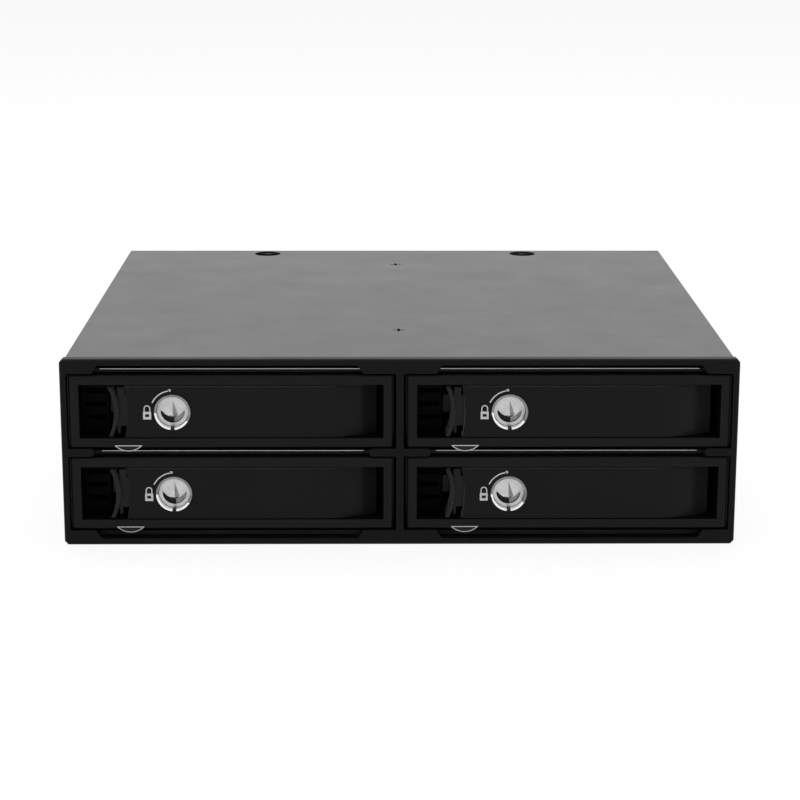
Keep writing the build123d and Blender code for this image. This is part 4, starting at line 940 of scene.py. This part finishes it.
@dataclass
class PrintedMarks:
    """The padlock and the turning arc printed in white on one handle.

    Lengths are in millimetres and are taken from the middle of the lock. Angles are in degrees.
    The dot's centre lies dot_shift outside the middle of the arc's line.
    """

    number: int
    thickness: float = 0.02
    arc_radius: float = 4.85
    arc_line: float = 0.26
    arc_start: float = 96.0
    arc_sweep: float = 58.0
    arc_steps: int = 18
    dot_radius: float = 0.3
    dot_steps: int = 20
    dot_shift: float = 0.065
    lock_offset: float = -5.5
    lock_drop: float = 0.12
    body_width: float = 1.76
    body_height: float = 1.72
    keyhole_width: float = 0.9
    keyhole_height: float = 0.62
    shackle_radius: float = 0.62
    shackle_line: float = 0.24
    shackle_leg: float = 0.72
    shackle_steps: int = 12
    leg_overlap: float = 0.0196

    def build(self) -> bpy.types.Object:
        """Prints both marks on the handle's face.

        Returns:
            The piece that carries them.
        """
        shape = bmesh.new()
        self.arc(shape)
        self.dot(shape)
        self.padlock(shape)
        bmesh.ops.recalc_face_normals(shape, faces=shape.faces)
        region = bmesh.ops.extrude_face_region(shape, geom=list(shape.faces))
        raised = [item for item in region["geom"] if isinstance(item, bmesh.types.BMVert)]
        bmesh.ops.translate(shape, vec=(0.0, -self.thickness, 0.0), verts=raised)
        bmesh.ops.recalc_face_normals(shape, faces=shape.faces)
        low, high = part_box(f"tray_{self.number}_lock_housing")
        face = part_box(f"tray_{self.number}_handle")[0].y
        place = Matrix.Translation(((low.x + high.x) / 2, face, (low.z + high.z) / 2))
        bmesh.ops.transform(shape, matrix=place @ Matrix.Scale(MM, 4), verts=shape.verts)
        piece = new_piece(f"tray_{self.number}_marks", shape, PRINT_WHITE)
        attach(piece, f"handle_{self.number}")
        return piece

    @staticmethod
    def strip(
        shape: bmesh.types.BMesh,
        radius: float,
        line: float,
        start: float,
        sweep: float,
        steps: int,
        centre: Span = (0.0, 0.0),
    ) -> list[bmesh.types.BMEdge]:
        """A flat curved line, spun from one short edge.

        Args:
            shape: the mesh it is added to.
            radius: the middle radius of the line.
            line: the width of the line.
            start: the angle where it starts, in degrees from the right.
            sweep: how far it turns, in degrees.
            steps: how many straight steps it has.
            centre: the centre it turns about, in the plane of the face.

        Returns:
            The short edges at its start and its end.
        """
        turn = Matrix.Rotation(math.radians(-start), 3, "Y")
        middle = Vector((centre[0], 0.0, centre[1]))
        ends = [middle + turn @ Vector((radius + side * line / 2, 0.0, 0.0)) for side in SIDES]
        first = shape.edges.new([shape.verts.new(place) for place in ends])
        spun = bmesh.ops.spin(
            shape, geom=[first, *first.verts], cent=middle, axis=(0.0, -1.0, 0.0),
            angle=math.radians(sweep), steps=steps, use_duplicate=False,
        )
        last = next(item for item in spun["geom_last"] if isinstance(item, bmesh.types.BMEdge))
        return [first, last]

    def arc(self, shape: bmesh.types.BMesh) -> None:
        """The arc that shows which way the key turns."""
        self.strip(
            shape, self.arc_radius, self.arc_line, self.arc_start, self.arc_sweep, self.arc_steps
        )

    def dot(self, shape: bmesh.types.BMesh) -> None:
        """The dot at the top end of the arc.

        Args:
            shape: the mesh it is added to.
        """
        angle = math.radians(self.arc_start)
        reach = self.arc_radius + self.dot_shift
        place = Matrix.Translation((reach * math.cos(angle), 0.0, reach * math.sin(angle)))
        matrix = place @ Matrix.Rotation(QUARTER_TURN, 4, "X")
        bmesh.ops.create_circle(
            shape, cap_ends=True, radius=self.dot_radius, segments=self.dot_steps, matrix=matrix
        )

    def padlock(self, shape: bmesh.types.BMesh) -> None:
        """The padlock: a body with a keyhole under a shackle.

        Args:
            shape: the mesh it is added to.
        """
        centre = Vector((self.lock_offset, 0.0, self.lock_drop - self.body_height / 2))
        self.lock_body(shape, centre)
        arch = (self.lock_offset, self.lock_drop + self.shackle_leg)
        steps = self.shackle_steps
        ends = self.strip(
            shape, self.shackle_radius, self.shackle_line, 0.0, HALF_CIRCLE, steps, arch
        )
        for edge in ends:
            leg = bmesh.ops.extrude_edge_only(shape, edges=[edge])["geom"]
            low = [item for item in leg if isinstance(item, bmesh.types.BMVert)]
            drop = (0.0, 0.0, -self.shackle_leg - self.leg_overlap)
            bmesh.ops.translate(shape, vec=drop, verts=low)

    def lock_body(self, shape: bmesh.types.BMesh, centre: Vector) -> None:
        """The padlock's body: three by three faces, without the middle one for the keyhole.

        Args:
            shape: the mesh it is added to.
            centre: the middle of the body.
        """
        half = 0.5
        matrix = Matrix.Translation(centre) @ Matrix.Rotation(QUARTER_TURN, 4, "X")
        made = bmesh.ops.create_grid(shape, x_segments=3, y_segments=3, size=half, matrix=matrix)
        grid = made["verts"]
        for vertex in grid:
            across = vertex.co.x - centre.x
            up = vertex.co.z - centre.z
            wide = self.body_width if abs(across) > half / 2 else self.keyhole_width
            tall = self.body_height if abs(up) > half / 2 else self.keyhole_height
            vertex.co.x = centre.x + math.copysign(wide / 2, across)
            vertex.co.z = centre.z + math.copysign(tall / 2, up)
        faces = {face for vertex in grid for face in vertex.link_faces}
        hole = min(faces, key=lambda face: (face.calc_center_median() - centre).length)
        bmesh.ops.delete(shape, geom=[hole], context="FACES_ONLY")


@dataclass
class RingFootShade:
    """A painted shade: a dark block at the foot of one lock's ring, where its bore lies in shade.

    Lengths are in millimetres.
    """

    number: int
    width: float = 1.0
    proud: float = 0.03
    depth: float = 1.7
    height: float = 0.56
    corner: float = 0.1
    corner_steps: int = 2

    def build(self) -> bpy.types.Object:
        """Lays the dark block of painted shade.

        Returns:
            The insert.
        """
        low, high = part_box(f"tray_{self.number}_lock_housing")
        shape = bmesh.new()
        bmesh.ops.create_cube(shape, size=1.0)
        size = Vector((self.width, self.depth, self.height)) * MM
        bmesh.ops.scale(shape, vec=size, verts=shape.verts)
        middle = (low.x + high.x) / 2
        front = low.y - self.proud * MM
        foot = low.z - self.proud * MM
        place = (middle, front + size.y / 2, foot + size.z / 2)
        bmesh.ops.translate(shape, vec=place, verts=shape.verts)
        bmesh.ops.bevel(
            shape,
            geom=shape.edges,
            offset=self.corner * MM,
            offset_type="OFFSET",
            segments=self.corner_steps,
            profile=0.5,
            affect="EDGES",
            material=-1,
        )
        insert = new_piece(f"tray_{self.number}_lock_foot_shade", shape, SHADE_BLACK)
        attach(insert, f"handle_{self.number}")
        return insert


@dataclass
class Shell:
    """The folded steel cage with its cover, decks and moulded front frame.

    Lengths are in millimetres.
    """

    plain: tuple[str, ...] = (
        "lower_chassis",
        "rear_panel",
        "centre_wall",
        "lower_deck",
        "middle_decks",
        "upper_deck",
        "top_cover",
        "cover_screws",
    )
    highlighted_decks: tuple[str, ...] = ("middle_decks", "upper_deck")
    bezel_radius: float = 0.22

    def build(self) -> list[bpy.types.Object]:
        """Dresses the sheet metal and rounds the front frame.

        Returns:
            The decks' painted edge highlights and the front frame.
        """
        dress_nodes(self.plain)
        edges = [DeckEdgeHighlight(node).build() for node in self.highlighted_decks]
        return [*edges, SoftenedNode("front_bezel", BEZEL_PLASTIC, self.bezel_radius).build()]


PORT_CONTACT = (0.7, 4.6, 0.08)
PORT_START = 1.1
PORT_RISE = 0.62
SLOT_CONTACT = (0.5, 2.8, 0.3)
SLOT_START = 0.4
SLOT_RISE = 0.85
DATA_PITCH = 1.27
POWER_PITCH = 1.2


@dataclass
class Backplane:
    """The circuit board behind the trays with its sockets and ports.

    Lengths are in millimetres.
    """

    connectors: tuple[str, ...] = ("drive_sockets", "data_ports", "power_ports")
    contacts: tuple[ContactRow, ...] = (
        ContactRow(
            "data_ports", 7, DATA_PITCH, -0.6, PORT_CONTACT, PORT_START, PORT_RISE, rear=True
        ),
        ContactRow(
            "power_ports", 15, POWER_PITCH, -0.6, PORT_CONTACT, PORT_START, PORT_RISE,
            rear=True, upright=True,
        ),
        ContactRow(
            "drive_sockets", 7, DATA_PITCH, 12.03, SLOT_CONTACT, SLOT_START, SLOT_RISE,
            tag="data_contacts",
        ),
        ContactRow(
            "drive_sockets", 15, POWER_PITCH, -5.73, SLOT_CONTACT, SLOT_START, SLOT_RISE,
            tag="power_contacts",
        ),
    )

    def build(self) -> list[bpy.types.Object]:
        """Dresses the board and its connectors and lays their contacts.

        Returns:
            The board and the rows of contacts.
        """
        dress_nodes(self.connectors)
        board = PopulatedBoard("backplane_board").build()
        return [board, *(row.build() for row in self.contacts)]


@dataclass
class CrossRecesses:
    """A painted shade: a flat dark cross on the head of each fan screw, where its cross recess lies
    in shade.

    Lengths are in millimetres.
    """

    node: str
    length: float = 2.4
    width: float = 0.5
    proud: float = 0.006

    def build(self) -> bpy.types.Object:
        """Lays two crossing bars on each head.

        Returns:
            The piece that holds them all.
        """
        shape = bmesh.new()
        for low, high in solid_boxes(self.node):
            place = ((low.x + high.x) / 2, high.y, (low.z + high.z) / 2)
            for size in ((self.length, self.width), (self.width, self.length)):
                bar = bmesh.ops.create_cube(shape, size=1.0)["verts"]
                spread = Vector((size[0], 2 * self.proud, size[1])) * MM
                bmesh.ops.scale(shape, vec=spread, verts=bar)
                bmesh.ops.translate(shape, vec=place, verts=bar)
        recesses = new_piece(f"{self.node}_recesses", shape, SHADE_BLACK)
        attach(recesses, body_of_node(self.node))
        return recesses


@dataclass
class CoolingFan:
    """The fan in the rear panel."""

    nodes: tuple[str, ...] = ("fan_frame", "fan_rotor", "fan_screws")

    def build(self) -> list[bpy.types.Object]:
        """Dresses the fan and lays the painted shade of its screws' recesses.

        Returns:
            The dark crosses of painted shade.
        """
        dress_nodes(self.nodes)
        return [CrossRecesses("fan_screws").build()]


@dataclass
class Tray:
    """One drive tray with its front, handle, latch and key lock. Lengths are in millimetres."""

    number: int
    latch_radius: float = 0.12

    def node(self, part: str) -> str:
        """The CAD node of one of this tray's parts."""
        return f"tray_{self.number}_{part}"

    def build(self) -> list[bpy.types.Object]:
        """Dresses the tray and rounds its mouldings.

        Returns:
            The new pieces, most of which stand for CAD nodes.
        """
        for part, finish in TRAY_FINISHES.items():
            dress(frame["nodes"][self.node(part)], finish)
        pieces = [
            TrayMoulding(self.node("front")),
            CurvedHandle(self.node("handle")),
            SoftenedNode(self.node("latch"), LATCH_PLASTIC, self.latch_radius),
            LatchSpring(self.node("latch_spring")),
            LightPipe(self.node("light_pipe")),
            LockRing(self.node("lock_housing")),
            PlugWithPointer(self.node("lock_plug")),
            PrintedMarks(self.number),
            RingFootShade(self.number),
        ]
        return [piece.build() for piece in pieces]


@dataclass(frozen=True)
class Softbox:
    """A square soft light that faces the object. Lengths are in metres and power in watts."""

    name: str
    place: Triple
    side: float
    power: float

    def hang(self, target: Vector) -> None:
        """Hangs the light.

        Args:
            target: the place that it faces.
        """
        data = bpy.data.lights.new(self.name, "AREA")
        data.shape = "SQUARE"
        data.size = self.side
        data.energy = self.power
        lamp = bpy.data.objects.new(self.name, data)
        turn = (target - Vector(self.place)).to_track_quat("-Z", "Y").to_matrix().to_4x4()
        lamp.matrix_world = Matrix.Translation(self.place) @ turn
        bpy.context.scene.collection.objects.link(lamp)


@dataclass
class Studio:
    """A plain pale floor, a white surround, soft lights and the photograph's camera.

    The lens and the sensor are in millimetres, other lengths in metres and angles in radians.
    """

    lens: float = 100.86
    sensor: float = 36.0
    clip: Span = (0.01, 50.0)
    eye: Triple = (-0.0051, -0.54396, 0.14805)
    pitch: float = -0.2382
    yaw: float = -0.01074
    roll: float = -0.00176
    floor_size: float = 8.0
    floor_lit: float = 0.8
    floor_glow: float = 0.88
    floor_white: float = 0.14
    ambient: float = 0.45
    target: Triple = (0.0, 0.0, 0.02)
    lights: tuple[Softbox, ...] = (
        Softbox("key", (0.0, 0.25, 0.95), 0.9, 7.0),
        Softbox("left_fill", (-0.8, -0.6, 0.5), 0.6, 1.2),
        Softbox("right_fill", (0.8, -0.5, 0.5), 0.6, 1.2),
    )

    def build(self) -> None:
        """Sets up the view, the floor, the surround and the lights."""
        self.camera()
        self.floor()
        self.surround()
        for light in self.lights:
            light.hang(Vector(self.target))
        bpy.context.scene.view_settings.view_transform = "Standard"

    def camera(self) -> None:
        """Places the camera where the photograph was taken from."""
        data = bpy.data.cameras.new("view")
        data.lens = self.lens
        data.sensor_width = self.sensor
        data.clip_start, data.clip_end = self.clip
        view = bpy.data.objects.new("view", data)
        turn = Matrix.Rotation(self.yaw, 4, "Z") @ Matrix.Rotation(self.pitch, 4, "X")
        turn = turn @ Matrix.Rotation(self.roll, 4, "Y") @ Matrix.Rotation(QUARTER_TURN, 4, "X")
        view.matrix_world = Matrix.Translation(self.eye) @ turn
        bpy.context.scene.collection.objects.link(view)
        bpy.context.scene.camera = view

    @staticmethod
    def seen_directly(tree: Tree) -> Socket:
        """A factor of 1 for camera, glossy and transmission rays.

        Args:
            tree: the node tree of a material or the world.

        Returns:
            The factor.
        """
        rays = tree.nodes.new("ShaderNodeLightPath").outputs
        either = math_node(tree, "MAXIMUM", rays["Is Camera Ray"], rays["Is Glossy Ray"])
        return math_node(tree, "MAXIMUM", either, rays["Is Transmission Ray"])

    def choose(self, tree: Tree, lit: Socket, shown: Socket, output: str) -> None:
        """Lets one shader light the object and another be seen.

        Args:
            tree: the node tree of a material or the world.
            lit: the shader that lights the object.
            shown: the shader that the camera, gloss and glass see.
            output: the kind of the tree's output node.
        """
        choice = tree.nodes.new("ShaderNodeMixShader")
        tree.links.new(self.seen_directly(tree), choice.inputs["Fac"])
        tree.links.new(lit, choice.inputs[1])
        tree.links.new(shown, choice.inputs[2])
        tree.links.new(choice.outputs["Shader"], tree.nodes.new(output).inputs["Surface"])

    def floor(self) -> None:
        """Lays a pale floor that reads as white and keeps the object's shadow."""
        shape = bmesh.new()
        bmesh.ops.create_grid(shape, x_segments=1, y_segments=1, size=self.floor_size / 2)
        ground = new_object("floor", shape)
        material = bpy.data.materials.new("floor_white")
        material.use_nodes = True
        tree = material.node_tree
        tree.nodes.clear()
        lit = tree.nodes.new("ShaderNodeBsdfDiffuse")
        lit.inputs["Color"].default_value = (*grey(self.floor_lit), 1.0)
        faint = tree.nodes.new("ShaderNodeBsdfDiffuse")
        faint.inputs["Color"].default_value = (*grey(self.floor_white), 1.0)
        glow = tree.nodes.new("ShaderNodeEmission")
        glow.inputs["Strength"].default_value = self.floor_glow
        shown = tree.nodes.new("ShaderNodeAddShader")
        tree.links.new(faint.outputs["BSDF"], shown.inputs[0])
        tree.links.new(glow.outputs["Emission"], shown.inputs[1])
        self.choose(tree, lit.outputs["BSDF"], shown.outputs["Shader"], "ShaderNodeOutputMaterial")
        ground.data.materials.append(material)

    def surround(self) -> None:
        """Makes the world white to look at and softer as a light."""
        world = bpy.data.worlds.new("surround")
        bpy.context.scene.world = world
        world.use_nodes = True
        tree = world.node_tree
        tree.nodes.clear()
        lit = tree.nodes.new("ShaderNodeBackground")
        lit.inputs["Color"].default_value = (*grey(1.0), 1.0)
        lit.inputs["Strength"].default_value = self.ambient
        shown = tree.nodes.new("ShaderNodeBackground")
        shown.inputs["Color"].default_value = (*grey(1.0), 1.0)
        output = "ShaderNodeOutputWorld"
        self.choose(tree, lit.outputs["Background"], shown.outputs["Background"], output)


def main() -> None:
    """Builds the dressed cage and its studio."""
    logging.basicConfig(level=logging.INFO, format="%(name)s: %(message)s")
    parts = [Shell(), Backplane(), CoolingFan(), *(Tray(number) for number in TRAYS)]
    for part in parts:
        for piece in part.build():
            LOG.info("%s: %d faces", piece.name, len(piece.data.polygons))
    Studio().build()


if __name__ == "__main__":
    main()
